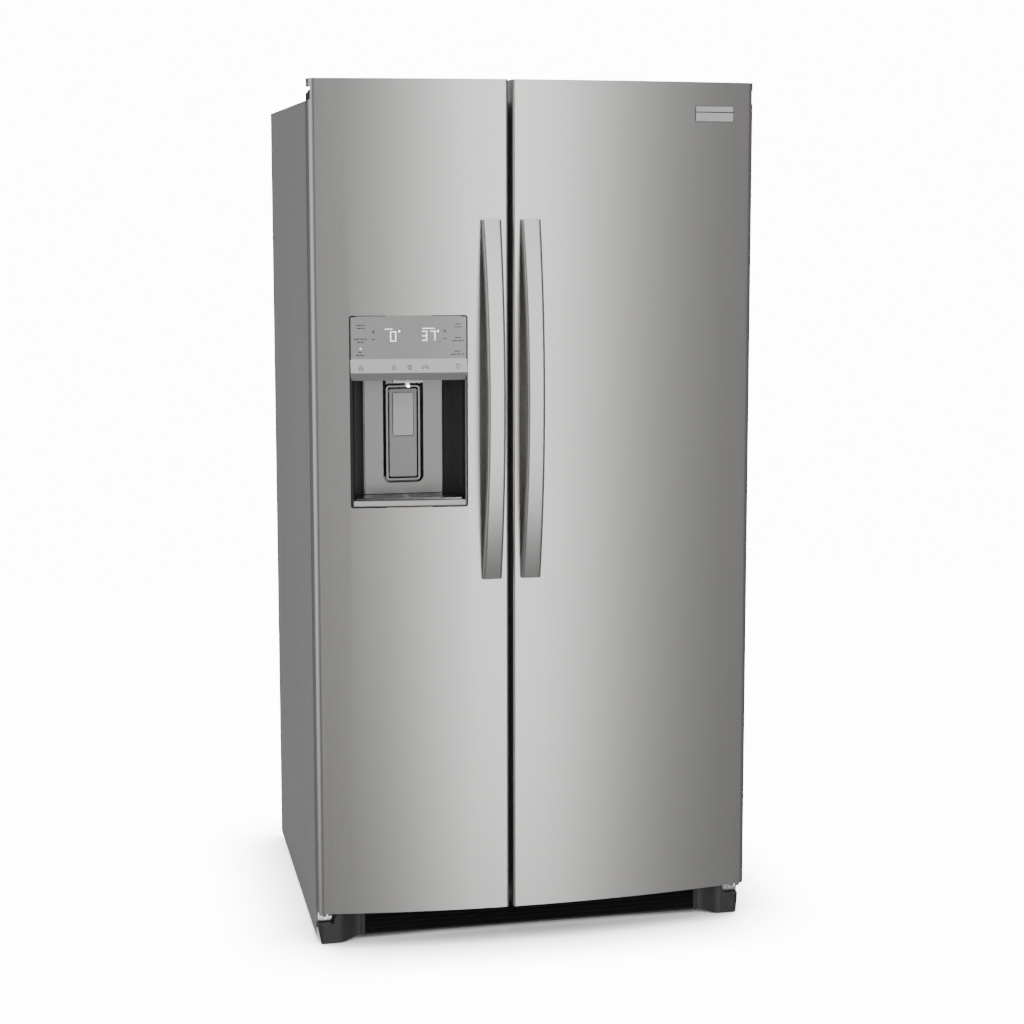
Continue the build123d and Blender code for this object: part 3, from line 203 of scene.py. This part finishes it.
def enamel(name, colour, rough, pebble=0.0006):
    """Textured enamel over sheet steel: a pebbled surface."""
    made = Shader(name, colour, rough, Coat_Weight=0.15, Coat_Roughness=0.35)
    pebbles = made.noise((1 / pebble,) * 3, 0.8, 2.0)
    drift = made.noise((2.2, 2.2, 1.2), 1.0, 3.0)
    made.colour(made.mix(made.spread(drift, 0, 1), shade(colour, 0.96), shade(colour, 1.04)))
    made.roughness(made.spread(pebbles, rough - 0.06, rough + 0.06))
    made.bump(pebbles, 0.16, 0.0004)
    return made.material


def galvanised(name, colour=(0.5, 0.51, 0.52), rough=0.42):
    """Zinc coated sheet with its crystal spangle."""
    made = Shader(name, colour, rough, 0.9)
    cells = made.node("ShaderNodeTexVoronoi")
    cells.inputs["Scale"].default_value = 70
    made.join(made.coordinates, cells.inputs["Vector"])
    grey = made.node("ShaderNodeSeparateColor")
    made.join(cells.outputs["Color"], grey.inputs[0])
    made.colour(made.mix(made.spread(grey.outputs[0], 0, 1, 0, 1), shade(colour, 0.82), shade(colour, 1.12)))
    made.roughness(made.spread(grey.outputs[1], rough - 0.1, rough + 0.12, 0, 1))
    made.bump(made.noise((40, 40, 40)), 0.03, 0.001)
    return made.material


def glowing(name, colour, strength):
    """A lit display segment or lamp."""
    made = Shader(name, colour, 0.4)
    made.set("Emission Color", (*colour, 1))
    made.set("Emission Strength", strength)
    return made.material


STEEL = (0.60, 0.59, 0.575)
steel = brushed_steel("door_steel", STEEL, 0.36, contrast=0.018)
handle_steel = brushed_steel("handle_steel", (0.52, 0.515, 0.505), 0.36, grain=(700, 700, 4), contrast=0.03)
cabinet_enamel = enamel("cabinet_enamel", (0.42, 0.42, 0.417), 0.5)
zinc = galvanised("galvanised_sheet")
white_liner = moulded("liner_white", (0.86, 0.87, 0.88), 0.28, speckle=0.015)
white_plastic = moulded("white_plastic", (0.84, 0.85, 0.86), 0.32, speckle=0.02)
black_plastic = moulded("black_plastic", (0.022, 0.022, 0.022), 0.42, depth=0.12)
foot_plastic = moulded("foot_plastic", (0.036, 0.036, 0.036), 0.42, depth=0.1)
cap_plastic = moulded("cap_plastic", (0.2, 0.2, 0.198), 0.45)
rubber_grey = moulded("gasket_rubber", (0.3, 0.3, 0.305), 0.62, grain=500, depth=0.1)
rubber_black = moulded("black_rubber", (0.02, 0.02, 0.02), 0.6, grain=500, depth=0.12)
bin_clear = clear_plastic("bin_clear", (0.93, 0.96, 0.97))
ice_frosted = clear_plastic("ice_frosted", (0.86, 0.91, 0.94), 0.3)
shelf_glass = clear_plastic("shelf_glass", (0.86, 0.95, 0.92), 0.02)
bright_steel = brushed_steel("plated_steel", (0.72, 0.72, 0.72), 0.24, grain=(120, 120, 120))
fin_aluminium = brushed_steel("fin_aluminium", (0.72, 0.73, 0.74), 0.4, grain=(30, 500, 30))
compressor_enamel = enamel("compressor_enamel", (0.015, 0.015, 0.015), 0.3, 0.003)
foam_yellow = moulded("foam_yellow", (0.78, 0.68, 0.42), 0.85, grain=300, depth=0.4)
board_grey = moulded("fibre_board", (0.14, 0.13, 0.115), 0.8, grain=250, depth=0.3)

# ---------------------------------------------------------------- dispenser finishes
housing_black = moulded(
    "housing_black", (0.045, 0.045, 0.045), 0.2, depth=0.02, Coat_Weight=0.5, Coat_Roughness=0.12
)
satin_recess = brushed_steel("recess_satin", (0.27, 0.27, 0.265), 0.46, grain=(500, 500, 5), contrast=0.03)
chrome_trim = moulded("bright_trim", (0.74, 0.74, 0.73), 0.3, grain=700.0, depth=0.02, speckle=0.03)
grille_trim = brushed_steel("grille_trim", (0.35, 0.35, 0.35), 0.22, grain=(6, 500, 500))
ink_dark = moulded("ink_dark", (0.05, 0.05, 0.05), 0.5)
display_glow = glowing("display_glow", (1.0, 1.0, 0.98), 1.6)
# Painted shade: flat black for the shadowed groove and the crease round the pad in the dispenser recess.
painted_groove_shade = moulded("painted_groove_shade", (0.02, 0.02, 0.02), 0.75, Specular_IOR_Level=0.15)
lamp_glow = glowing("lamp_glow", (1.0, 1.0, 1.0), 9.0)


def control_panel_finish():
    """Grey display glass above, a bright satin strip below it and a dark apron under that."""
    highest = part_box("control_panel")[1]
    strip_top = highest.z - DISPLAY_HEIGHT
    strip_bottom = highest.z - STRIP_COLOUR_END
    made = Shader("control_panel_face", (0.33, 0.33, 0.328), 0.3, Coat_Weight=0.4, Coat_Roughness=0.1)
    height = made.axis(2)
    drift = made.noise((500, 500, 6), 1.0, 3.0)
    glass = made.mix(made.spread(drift, 0, 1), (0.50, 0.50, 0.495), (0.52, 0.52, 0.515))
    strip = made.mix(made.spread(drift, 0, 1), (0.86, 0.86, 0.85), (0.90, 0.90, 0.89))
    apron = made.mix(made.spread(drift, 0, 1), (0.31, 0.31, 0.31), (0.33, 0.33, 0.33))
    over_apron = made.mix(made.math("GREATER_THAN", height, strip_bottom), apron, strip)
    made.colour(made.mix(made.math("GREATER_THAN", height, strip_top), over_apron, glass))
    made.roughness(made.spread(made.math("GREATER_THAN", height, strip_top), 0.34, 0.2, 0, 1))
    return made.material


def paddle_finish():
    """Satin grey plate with a lighter raised pad."""
    made = Shader("paddle_finish", (0.34, 0.34, 0.335), 0.32)
    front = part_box("dispenser_paddle")[0].y
    drift = made.noise((300, 300, 6), 1.0, 3.0)
    plate = made.mix(made.spread(drift, 0, 1), (0.33, 0.33, 0.325), (0.36, 0.36, 0.355))
    pad = made.mix(made.spread(drift, 0, 1), (0.58, 0.58, 0.57), (0.63, 0.63, 0.62))
    made.colour(made.mix(made.math("LESS_THAN", made.axis(1), front + 0.6 * MM), plate, pad))
    made.roughness(made.spread(drift, 0.28, 0.36))
    return made.material


finishes = {
    steel: ["freezer_door_skin", "fridge_door_skin"],
    handle_steel: ["freezer_handle", "fridge_handle"],
    cabinet_enamel: ["outer_wrapper", "base_frame"],
    zinc: ["back_panel"],
    board_grey: ["rear_cover"],
    white_liner: [
        "freezer_liner",
        "fridge_liner",
        "freezer_door_liner",
        "fridge_door_liner",
        "air_covers",
    ],
    white_plastic: [
        "fridge_shelf_frames",
        "freezer_shelves",
        "freezer_basket",
        "ice_maker",
        "humidity_slider",
        "shelf_tracks",
        "water_nozzle",
        "water_valve",
    ],
    foam_yellow: ["cabinet_foam", "freezer_door_foam", "fridge_door_foam"],
    black_plastic: ["toe_grille", "chute_flap", "condenser_fan", "evaporator_fan", "fan_motor"],
    foot_plastic: ["foot_covers", "hinge_covers", "front_rollers", "rear_rollers"],
    bright_steel: ["door_hinges", "leveling_leg_left", "leveling_leg_right", "ice_auger", "ice_maker_arm"],
    cap_plastic: ["freezer_door_caps", "fridge_door_caps"],
    rubber_grey: ["freezer_gasket", "fridge_gasket"],
    rubber_black: ["grommets"],
    bin_clear: [
        "freezer_door_bins",
        "fridge_door_bins",
        "dairy_lid",
        "crisper_lower",
        "crisper_upper",
        "light_lenses",
    ],
    ice_frosted: ["ice_bin"],
    shelf_glass: ["fridge_shelf_glass"],
    fin_aluminium: ["evaporator", "condenser"],
    compressor_enamel: ["compressor"],
    housing_black: ["dispenser_housing"],
    control_panel_finish(): ["control_panel"],
    chrome_trim: ["drip_sill"],
    grille_trim: ["drip_grille"],
    satin_recess: ["recess_panel"],
    paddle_finish(): ["dispenser_paddle"],
}
for material, names in finishes.items():
    for name in names:
        for place in nodes[name].material_slots:
            place.material = material


# ---------------------------------------------------------------- mesh helpers
DOOR_BOW = 40 * MM
half_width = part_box("outer_wrapper")[1].x
door_front = -339 * MM
bow_radius = (half_width**2 + DOOR_BOW**2) / (2 * DOOR_BOW)
bow_centre = door_front - DOOR_BOW + bow_radius


def front_at(x, proud=0.0):
    """Where a surface that stands proud of the doors' bowed front lies at x."""
    return bow_centre - math.sqrt((bow_radius + proud) ** 2 - x**2)


def finish_mesh(name, mesh_builder, material, body, smooth_angle=35):
    """Turns a bmesh into a piece that rides on a body."""
    mesh = bpy.data.meshes.new(name)
    bmesh.ops.recalc_face_normals(mesh_builder, faces=mesh_builder.faces)
    mesh_builder.to_mesh(mesh)
    mesh_builder.free()
    piece = bpy.data.objects.new(name, mesh)
    bpy.context.scene.collection.objects.link(piece)
    mesh.materials.append(material)
    for face in mesh.polygons:
        face.use_smooth = True
    mesh.set_sharp_from_angle(angle=math.radians(smooth_angle))
    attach(piece, body)
    return piece


def add_prism(builder, outline, near, far):
    """A closed prism over an (x, z) outline. near and far give y at a point."""
    front = [builder.verts.new((x, near(x, z), z)) for x, z in outline]
    rear = [builder.verts.new((x, far(x, z), z)) for x, z in outline]
    builder.faces.new(front)
    builder.faces.new(list(reversed(rear)))
    for i in range(len(outline)):
        j = (i + 1) % len(outline)
        builder.faces.new((front[i], rear[i], rear[j], front[j]))


def rectangle(x, z, wide, high):
    return [
        (x - wide / 2, z - high / 2),
        (x + wide / 2, z - high / 2),
        (x + wide / 2, z + high / 2),
        (x - wide / 2, z + high / 2),
    ]


def rounded_rectangle(x, z, wide, high, radius, steps=5):
    points = []
    for corner, (sx, sz) in enumerate(((1, 1), (-1, 1), (-1, -1), (1, -1))):
        centre_x = x + sx * (wide / 2 - radius)
        centre_z = z + sz * (high / 2 - radius)
        for step in range(steps + 1):
            angle = (corner + step / steps) * math.pi / 2
            points.append((centre_x + radius * math.cos(angle), centre_z + radius * math.sin(angle)))
    return points


def stroke(a, b, thick):
    """A bar from a to b."""
    along = Vector((b[0] - a[0], b[1] - a[1])).normalized() * thick / 2
    side = Vector((-along.y, along.x))
    corners = []
    for point, sign in ((a, -1), (b, 1)):
        for edge in (1, -1):
            x = point[0] + sign * along.x + edge * sign * side.x
            z = point[1] + sign * along.y + edge * sign * side.y
            corners.append((x, z))
    return corners


def arc_strokes(x, z, radius, start, end, thick, steps):
    """Short bars round an arc, angles in degrees."""
    points = []
    for step in range(steps + 1):
        angle = math.radians(start + (end - start) * step / steps)
        points.append((x + radius * math.cos(angle), z + radius * math.sin(angle)))
    return path_strokes(points, thick)


def path_strokes(points, thick):
    """Short bars from each point to the next."""
    return [stroke(points[i], points[i + 1], thick) for i in range(len(points) - 1)]


def polygon_points(x, z, radius, sides, turn):
    """The corners of a regular polygon, with the first one again at the end. turn is in degrees."""
    points = []
    for step in range(sides + 1):
        angle = math.radians(turn + 360 // sides * step)
        points.append((x + radius * math.cos(angle), z + radius * math.sin(angle)))
    return points


def decal(name, outlines, proud, material, thickness=0.25 * MM):
    """Printed marks that stand a little proud of the dispenser's face."""
    builder = bmesh.new()
    for outline in outlines:
        add_prism(
            builder,
            outline,
            lambda x, z: front_at(x, proud(z) + thickness),
            lambda x, z: front_at(x, proud(z) - thickness),
        )
    return finish_mesh(name, builder, material, "freezer_door")


# ---------------------------------------------------------------- display graphics
GLASS_PROUD = 0.55 * MM
PAD_MIDDLE = 51.5 * MM
STRIP_LIP = 1.5 * MM
STRIP_LEAN = 5.9 * MM
SEGMENTS = {
    "a": ((0, 1), (1, 1)),
    "b": ((1, 1), (1, 0.5)),
    "c": ((1, 0.5), (1, 0)),
    "d": ((0, 0), (1, 0)),
    "e": ((0, 0), (0, 0.5)),
    "f": ((0, 0.5), (0, 1)),
    "g": ((0, 0.5), (1, 0.5)),
}
LIT = {"0": "abcdef", "3": "abcdg", "7": "abc"}


def digit(figure, x, z, wide, high, thick):
    """The lit bars of a seven-segment figure, with a small gap at their ends."""
    bars = []
    for key in LIT[figure]:
        (ax, az), (bx, bz) = SEGMENTS[key]
        a = Vector((x + (ax - 0.5) * wide, z + (az - 0.5) * high))
        b = Vector((x + (bx - 0.5) * wide, z + (bz - 0.5) * high))
        trim = (b - a).normalized() * thick * 0.28
        bars.append(stroke(a + trim, b - trim, thick))
    return bars


panel_low, panel_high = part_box("control_panel")
display_low = panel_high.z - DISPLAY_HEIGHT
strip_low = panel_high.z - STRIP_END


def glass(z):
    """The display's glass stands this far in front of the doors' skin."""
    return GLASS_PROUD


def strip_slope(z):
    """The strip under the display leans forward towards its lower edge."""
    return GLASS_PROUD + (display_low - z) / (display_low - strip_low - STRIP_LIP) * STRIP_LEAN


PANEL_TOP = panel_high.z
SEGMENT = 0.0021
lit = digit("0", -0.2969, PANEL_TOP - 0.0400, 0.0100, 0.0185, SEGMENT)
lit += digit("3", -0.2350, PANEL_TOP - 0.0392, 0.0088, 0.0180, SEGMENT)
lit += digit("7", -0.2185, PANEL_TOP - 0.0392, 0.0088, 0.0180, SEGMENT)
for degree_x in (-0.2850, -0.2080):
    lit += arc_strokes(degree_x, PANEL_TOP - 0.0298, 1.4 * MM, 0, 360, 0.9 * MM, 10)
lit.append(rectangle(-0.3060, PANEL_TOP - 0.0255, 0.0150, 0.0018))
lit.append(rectangle(-0.2265, PANEL_TOP - 0.0245, 0.0250, 0.0018))
lit += [rounded_rectangle(-0.3615, PANEL_TOP - 0.0640, 0.0032, 0.0032, 0.0015)]
decal("display_figures", lit, glass, display_glow)

# Short bars in place of words: where they start and end along a line of the label.
LABEL_WORDS = ((0.0, 0.42), (0.50, 0.74), (0.82, 1.0))
labels = []
# Each label has two lines. x, the distance down from the panel's top, and the lines' lengths in mm.
for x, down, upper, lower in (
    (-0.3605, 0.0205, 16, 15),
    (-0.3615, 0.0480, 25, 13),
    (-0.3625, 0.0745, 7, 16),
    (-0.1675, 0.0190, 11, 14),
    (-0.1680, 0.0465, 12, 24),
    (-0.1690, 0.0735, 12, 28),
):
    for line, length in ((1, upper), (-1, lower)):
        start = x - length / 2 * MM
        for low, high in LABEL_WORDS:
            middle = start + (low + high) / 2 * length * MM
            height = PANEL_TOP - down + line * 3.0 * MM
            labels.append(rectangle(middle, height, (high - low) * length * MM, 1.8 * MM))
for x, z in ((-0.3358, PANEL_TOP - 0.0310), (-0.1945, PANEL_TOP - 0.0300)):
    labels += [rectangle(x, z, 0.0062, 0.0013), rectangle(x, z, 0.0013, 0.0075)]
    labels.append(rectangle(x, z - 0.0146, 0.0070, 0.0013))
decal("display_labels", labels, glass, ink_dark)


def icon_marks():
    """A padlock and a lamp at the ends, and a drop, a cube and crushed ice between them."""
    z = PANEL_TOP - 0.1008
    line = 1.0 * MM
    lock_x = -0.3614
    marks = [rectangle(lock_x, z - down, 0.0080, 0.0010) for down in (0.0022, 0.0068)]
    marks += [rectangle(x, z - 0.0045, 0.0010, 0.0056) for x in (-0.3649, -0.3579)]
    marks += arc_strokes(lock_x, z - 0.0005, 2.6 * MM, 0, 180, line, 7)
    bulb_x = -0.1692
    marks += arc_strokes(bulb_x, z + 0.0012, 3.6 * MM, -50, 230, line, 12)
    marks += [rectangle(bulb_x, z - 0.0028, 0.0042, line), rectangle(bulb_x, z - 0.0048, 0.0034, line)]
    drop_x = -0.2965
    marks += arc_strokes(drop_x, z - 0.0022, 2.9 * MM, -205, 25, line, 12)
    shoulder = z - 0.0009
    marks += path_strokes([(drop_x - 0.0026, shoulder), (drop_x, z + 0.0045), (drop_x + 0.0026, shoulder)], line)
    cube_x = -0.2652
    centre = (cube_x, z - 0.0006)
    corners = polygon_points(*centre, 4.4 * MM, 6, 30)
    marks += path_strokes(corners, line)
    marks += [stroke(centre, corners[corner], line) for corner in (0, 2, 4)]
    shards = ((-0.2385, -1.6, 2.5, 10), (-0.2330, 1.4, 2.3, 40), (-0.2290, -2.2, 2.0, 65))
    for shard_x, shard_z, size, turn in shards:
        marks += path_strokes(polygon_points(shard_x, z + shard_z * MM, size * MM, 4, turn), line * 0.8)
    return marks


decal("strip_icons", icon_marks(), strip_slope, ink_dark)


# ---------------------------------------------------------------- trim and painted shade
def ring_outline(x, z, wide, high, radius, thick):
    """The inside and outside outlines of a thin frame, corner by corner."""
    outside = rounded_rectangle(x, z, wide, high, radius)
    inside = rounded_rectangle(x, z, wide - 2 * thick, high - 2 * thick, max(radius - thick, 1 * MM))
    return outside, inside


def close_ring(builder, loops):
    """The faces of a frame whose loops are outer front, outer rear, inner front and inner rear."""
    outer_front, outer_rear, inner_front, inner_rear = loops
    count = len(outer_front)
    for i in range(count):
        j = (i + 1) % count
        builder.faces.new((outer_front[i], outer_front[j], inner_front[j], inner_front[i]))
        builder.faces.new((outer_rear[i], outer_rear[j], outer_front[j], outer_front[i]))
        builder.faces.new((inner_front[i], inner_front[j], inner_rear[j], inner_rear[i]))
        builder.faces.new((inner_rear[i], inner_rear[j], outer_rear[j], outer_rear[i]))


def frame_ring(name, box, radius, thick, proud, material):
    """A thin frame on the doors' bowed front, closed on all sides."""
    low, high = box
    middle_x, middle_z = (low.x + high.x) / 2, (low.z + high.z) / 2
    wide, tall = high.x - low.x, high.z - low.z
    outside, inside = ring_outline(middle_x, middle_z, wide, tall, radius, thick)
    builder = bmesh.new()
    loops = []
    for outline in (outside, inside):
        for depth in (proud, -0.6 * MM):
            loops.append([builder.verts.new((x, front_at(x, depth), z)) for x, z in outline])
    close_ring(builder, loops)
    return finish_mesh(name, builder, material, "freezer_door")


# Painted shade: a thin black ring round the dispenser housing stands for the dark, shadowed gap between the
# housing and the door skin.
housing_low, housing_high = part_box("dispenser_housing")
RING = 3.0 * MM
ring_box = (
    Vector((housing_low.x - RING / 2, 0, housing_low.z - RING / 2)),
    Vector((housing_high.x + RING / 2, 0, housing_high.z + RING / 2)),
)
frame_ring("dispenser_painted_shadow_gap", ring_box, 5.5 * MM, RING, 0.9 * MM, rubber_black)


def badge_plate():
    """A blank metal plate on the right door, with a dark border and one dividing line."""
    middle_x, middle_z = 368.5 * MM, 1706 * MM
    wide, high = 85 * MM, 32 * MM
    builder = bmesh.new()
    outline = rounded_rectangle(middle_x, middle_z, wide, high, 2.5 * MM)
    add_prism(builder, outline, lambda x, z: front_at(x, 0.9 * MM), lambda x, z: front_at(x, -0.3 * MM))
    finish_mesh("badge_border", builder, ink_dark, "fridge_door")
    for name, low, top in (("badge_lower", -0.47, 0.07), ("badge_upper", 0.13, 0.47)):
        builder = bmesh.new()
        plate = rounded_rectangle(
            middle_x, middle_z + (low + top) / 2 * high, wide - 2.4 * MM, (top - low) * high, 1.2 * MM
        )
        add_prism(builder, plate, lambda x, z: front_at(x, 1.3 * MM), lambda x, z: front_at(x, 0.7 * MM))
        finish_mesh(name, builder, chrome_trim, "fridge_door")


badge_plate()


SCREW_RADIUS = 4.5 * MM


def screw_head(builder, centre, out, radius):
    """A pan head with a cross recess. out is the way the head faces."""
    out = Vector(out)
    side = Vector((0, 0, 1)) if abs(out.z) < 0.5 else Vector((1, 0, 0))
    up = out.cross(side)
    rings = ((1.0, -0.08), (1.0, 0.22), (0.88, 0.42), (0.62, 0.55))
    steps = 24
    loops = []
    for share, rise in rings:
        loop = []
        for step in range(steps):
            angle = 2 * math.pi * step / steps
            spoke = side * math.cos(angle) + up * math.sin(angle)
            loop.append(builder.verts.new(Vector(centre) + spoke * radius * share + out * radius * rise))
        loops.append(loop)
    for lower, upper in zip(loops, loops[1:]):
        for i in range(steps):
            j = (i + 1) % steps
            builder.faces.new((lower[i], lower[j], upper[j], upper[i]))
    # The recess: alternate corners of the top ring drop towards the middle.
    floor_ring = []
    for step in range(steps):
        angle = 2 * math.pi * step / steps
        in_slot = step % 6 == 0
        spoke = side * math.cos(angle) + up * math.sin(angle)
        reach, rise = (0.5, 0.2) if in_slot else (0.16, 0.5)
        floor_ring.append(builder.verts.new(Vector(centre) + spoke * radius * reach + out * radius * rise))
    for i in range(steps):
        j = (i + 1) % steps
        builder.faces.new((loops[-1][i], loops[-1][j], floor_ring[j], floor_ring[i]))
    builder.faces.new(floor_ring)
    builder.faces.new(list(reversed(loops[0])))


def screws(name, places, out):
    """Screw heads on the cabinet, all facing one way."""
    builder = bmesh.new()
    for place in places:
        screw_head(builder, place, out, SCREW_RADIUS)
    return finish_mesh(name, builder, bright_steel, "cabinet", smooth_angle=30)


back_low, back_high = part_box("back_panel")
back_places = []
for side in (back_low.x + 9 * MM, back_high.x - 9 * MM):
    for step in range(7):
        height = back_low.z + 30 * MM + step * (back_high.z - back_low.z - 60 * MM) / 6
        back_places.append((side, back_high.y, height))
for step in range(1, 5):
    across = back_low.x + 9 * MM + step * (back_high.x - back_low.x - 18 * MM) / 5
    back_places.append((across, back_high.y, back_high.z - 12 * MM))
screws("back_panel_screws", back_places, (0, 1, 0))

cover_low, cover_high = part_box("rear_cover")
cover_places = []
for step in range(6):
    across = cover_low.x + 14 * MM + step * (cover_high.x - cover_low.x - 28 * MM) / 5
    for height in (cover_low.z + 10 * MM, cover_high.z - 10 * MM):
        cover_places.append((across, cover_high.y, height))
screws("rear_cover_screws", cover_places, (0, 1, 0))

hinge_low, hinge_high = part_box("hinge_covers")
hinge_places = []
for side in (-1, 1):
    hinge_places.append((side * (hinge_high.x - 32 * MM), hinge_high.y - 22 * MM, hinge_high.z))
screws("hinge_cover_screws", hinge_places, (0, 0, 1))


def flat_piece(name, outline, near, far, material, body):
    """A closed flat piece between two depths."""
    builder = bmesh.new()
    add_prism(builder, outline, lambda x, z: near, lambda x, z: far)
    return finish_mesh(name, builder, material, body)


def recess_details():
    """Painted shade: dark strips where the groove runs up to the ceiling and a dark ring in the crease round the
    paddle's pad; and the lamp.
    """
    panel_low, panel_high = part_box("recess_panel")
    paddle_low, paddle_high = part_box("dispenser_paddle")
    spout_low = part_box("water_nozzle")[0]
    middle = (paddle_low.x + paddle_high.x) / 2
    top, bottom = panel_high.z - 0.5 * MM, paddle_high.z - 4 * MM
    near, far = panel_low.y - 0.3 * MM, panel_low.y + 2 * MM
    # Painted shade: a dark strip each side where the shadowed groove runs up to the ceiling.
    for side, label in ((-1, "left"), (1, "right")):
        strip = rounded_rectangle(middle + side * 38.3 * MM, (top + bottom) / 2, 6.2 * MM, top - bottom, 1 * MM)
        flat_piece(f"groove_shade_strip_{label}", strip, near, far, painted_groove_shade, "freezer_door")
    lamp = rounded_rectangle(middle, spout_low.z + 2 * MM, 6 * MM, 4.5 * MM, 2 * MM)
    near, far = spout_low.y - 1 * MM, spout_low.y + 2 * MM
    flat_piece("dispenser_lamp", lamp, near, far, lamp_glow, "freezer_door")
    # Painted shade: a thin dark ring in the crease round the edge of the raised pad.
    pad = paddle_low.y + 2 * MM
    middle_z = paddle_high.z - 0.5 * MM - PAD_MIDDLE
    outside = rounded_rectangle(middle, middle_z, 43.4 * MM, 89.4 * MM, 3 * MM)
    inside = rounded_rectangle(middle, middle_z, 41.2 * MM, 87.2 * MM, 2 * MM)
    builder = bmesh.new()
    loops = []
    for outline in (outside, inside):
        for depth in (pad - 0.4 * MM, pad + 0.3 * MM):
            loops.append([builder.verts.new((x, depth, z)) for x, z in outline])
    close_ring(builder, loops)
    finish_mesh("pad_crease_painted_shade", builder, painted_groove_shade, "paddle")


recess_details()


# ---------------------------------------------------------------- stage and light
FLOOR_RADIUS = 9.0
SURROUND = 14.0
WORLD_LIGHT = 0.17


def make_floor():
    """A pale studio floor that fades into the white surround."""
    builder = bmesh.new()
    bmesh.ops.create_circle(builder, cap_ends=True, segments=96, radius=FLOOR_RADIUS)
    mesh = bpy.data.meshes.new("floor")
    builder.to_mesh(mesh)
    builder.free()
    floor = bpy.data.objects.new("floor", mesh)
    floor.location.z = -0.0005
    bpy.context.scene.collection.objects.link(floor)
    made = Shader("floor_pale", (0.93, 0.93, 0.93), 0.6, Specular_IOR_Level=0.2)
    made.set("Emission Color", (1, 1, 1, 1))
    # The floor looks as bright as the surround without lighting the object from below. Its glow is dimmed near
    # the object by ambient occlusion, a painted contact shadow.
    rays = made.node("ShaderNodeLightPath")
    # Painted shadow: the glow fades where the object stands close to the floor.
    near = made.node("ShaderNodeAmbientOcclusion")
    near.inputs["Distance"].default_value = 0.2
    floor_glow_painted_shadow = made.math("MULTIPLY", made.math("POWER", near.outputs["AO"], 2.5), SURROUND)
    seen_glow = made.math("MULTIPLY", rays.outputs["Is Camera Ray"], floor_glow_painted_shadow)
    made.join(seen_glow, made.bsdf.inputs["Emission Strength"])
    away = made.node("ShaderNodeVectorMath", operation="LENGTH")
    made.join(made.coordinates, away.inputs[0])
    fade = made.spread(away.outputs["Value"], 1.0, 0.0, 1.6, 4.2)
    clear = made.node("ShaderNodeBsdfTransparent")
    blend = made.node("ShaderNodeMixShader")
    made.join(fade, blend.inputs[0])
    made.join(clear.outputs[0], blend.inputs[1])
    made.join(made.bsdf.outputs[0], blend.inputs[2])
    made.join(blend.outputs[0], made.tree.nodes["Material Output"].inputs["Surface"])
    mesh.materials.append(made.material)
    floor.visible_glossy = False
    floor.visible_shadow = False


make_floor()


def softbox(name, azimuth, distance, height, wide, high, power):
    """An area lamp that faces the middle of the object. Azimuth 0 is in front, positive to the right."""
    lamp = bpy.data.lights.new(name, "AREA")
    lamp.shape = "RECTANGLE"
    lamp.size = wide
    lamp.size_y = high
    lamp.energy = power
    holder = bpy.data.objects.new(name, lamp)
    angle = math.radians(azimuth)
    place = Vector((math.sin(angle) * distance, -math.cos(angle) * distance, height))
    holder.location = place
    holder.rotation_euler = (Vector((0, 0, 1.0)) - place).to_track_quat("-Z", "Y").to_euler()
    bpy.context.scene.collection.objects.link(holder)
    return holder


softbox("key_front", 8, 6.0, 1.6, 1.2, 8.0, 165)
softbox("fill_left", -82, 5.0, 1.6, 6.0, 6.0, 95)
softbox("fill_top", 20, 3.0, 5.5, 4.0, 4.0, 40)
softbox("fill_back", 160, 6.0, 2.4, 5.0, 5.0, 110)

world = bpy.data.worlds.new("studio")
bpy.context.scene.world = world
world.use_nodes = True
sky = world.node_tree
background = sky.nodes["Background"]
background.inputs["Color"].default_value = (1, 1, 1, 1)
background.inputs["Strength"].default_value = WORLD_LIGHT
seen = sky.nodes.new("ShaderNodeBackground")
seen.inputs["Color"].default_value = (1, 1, 1, 1)
seen.inputs["Strength"].default_value = SURROUND
rays = sky.nodes.new("ShaderNodeLightPath")
choose = sky.nodes.new("ShaderNodeMixShader")
sky.links.new(rays.outputs["Is Camera Ray"], choose.inputs[0])
sky.links.new(background.outputs[0], choose.inputs[1])
sky.links.new(seen.outputs[0], choose.inputs[2])
sky.links.new(choose.outputs[0], sky.nodes["World Output"].inputs["Surface"])
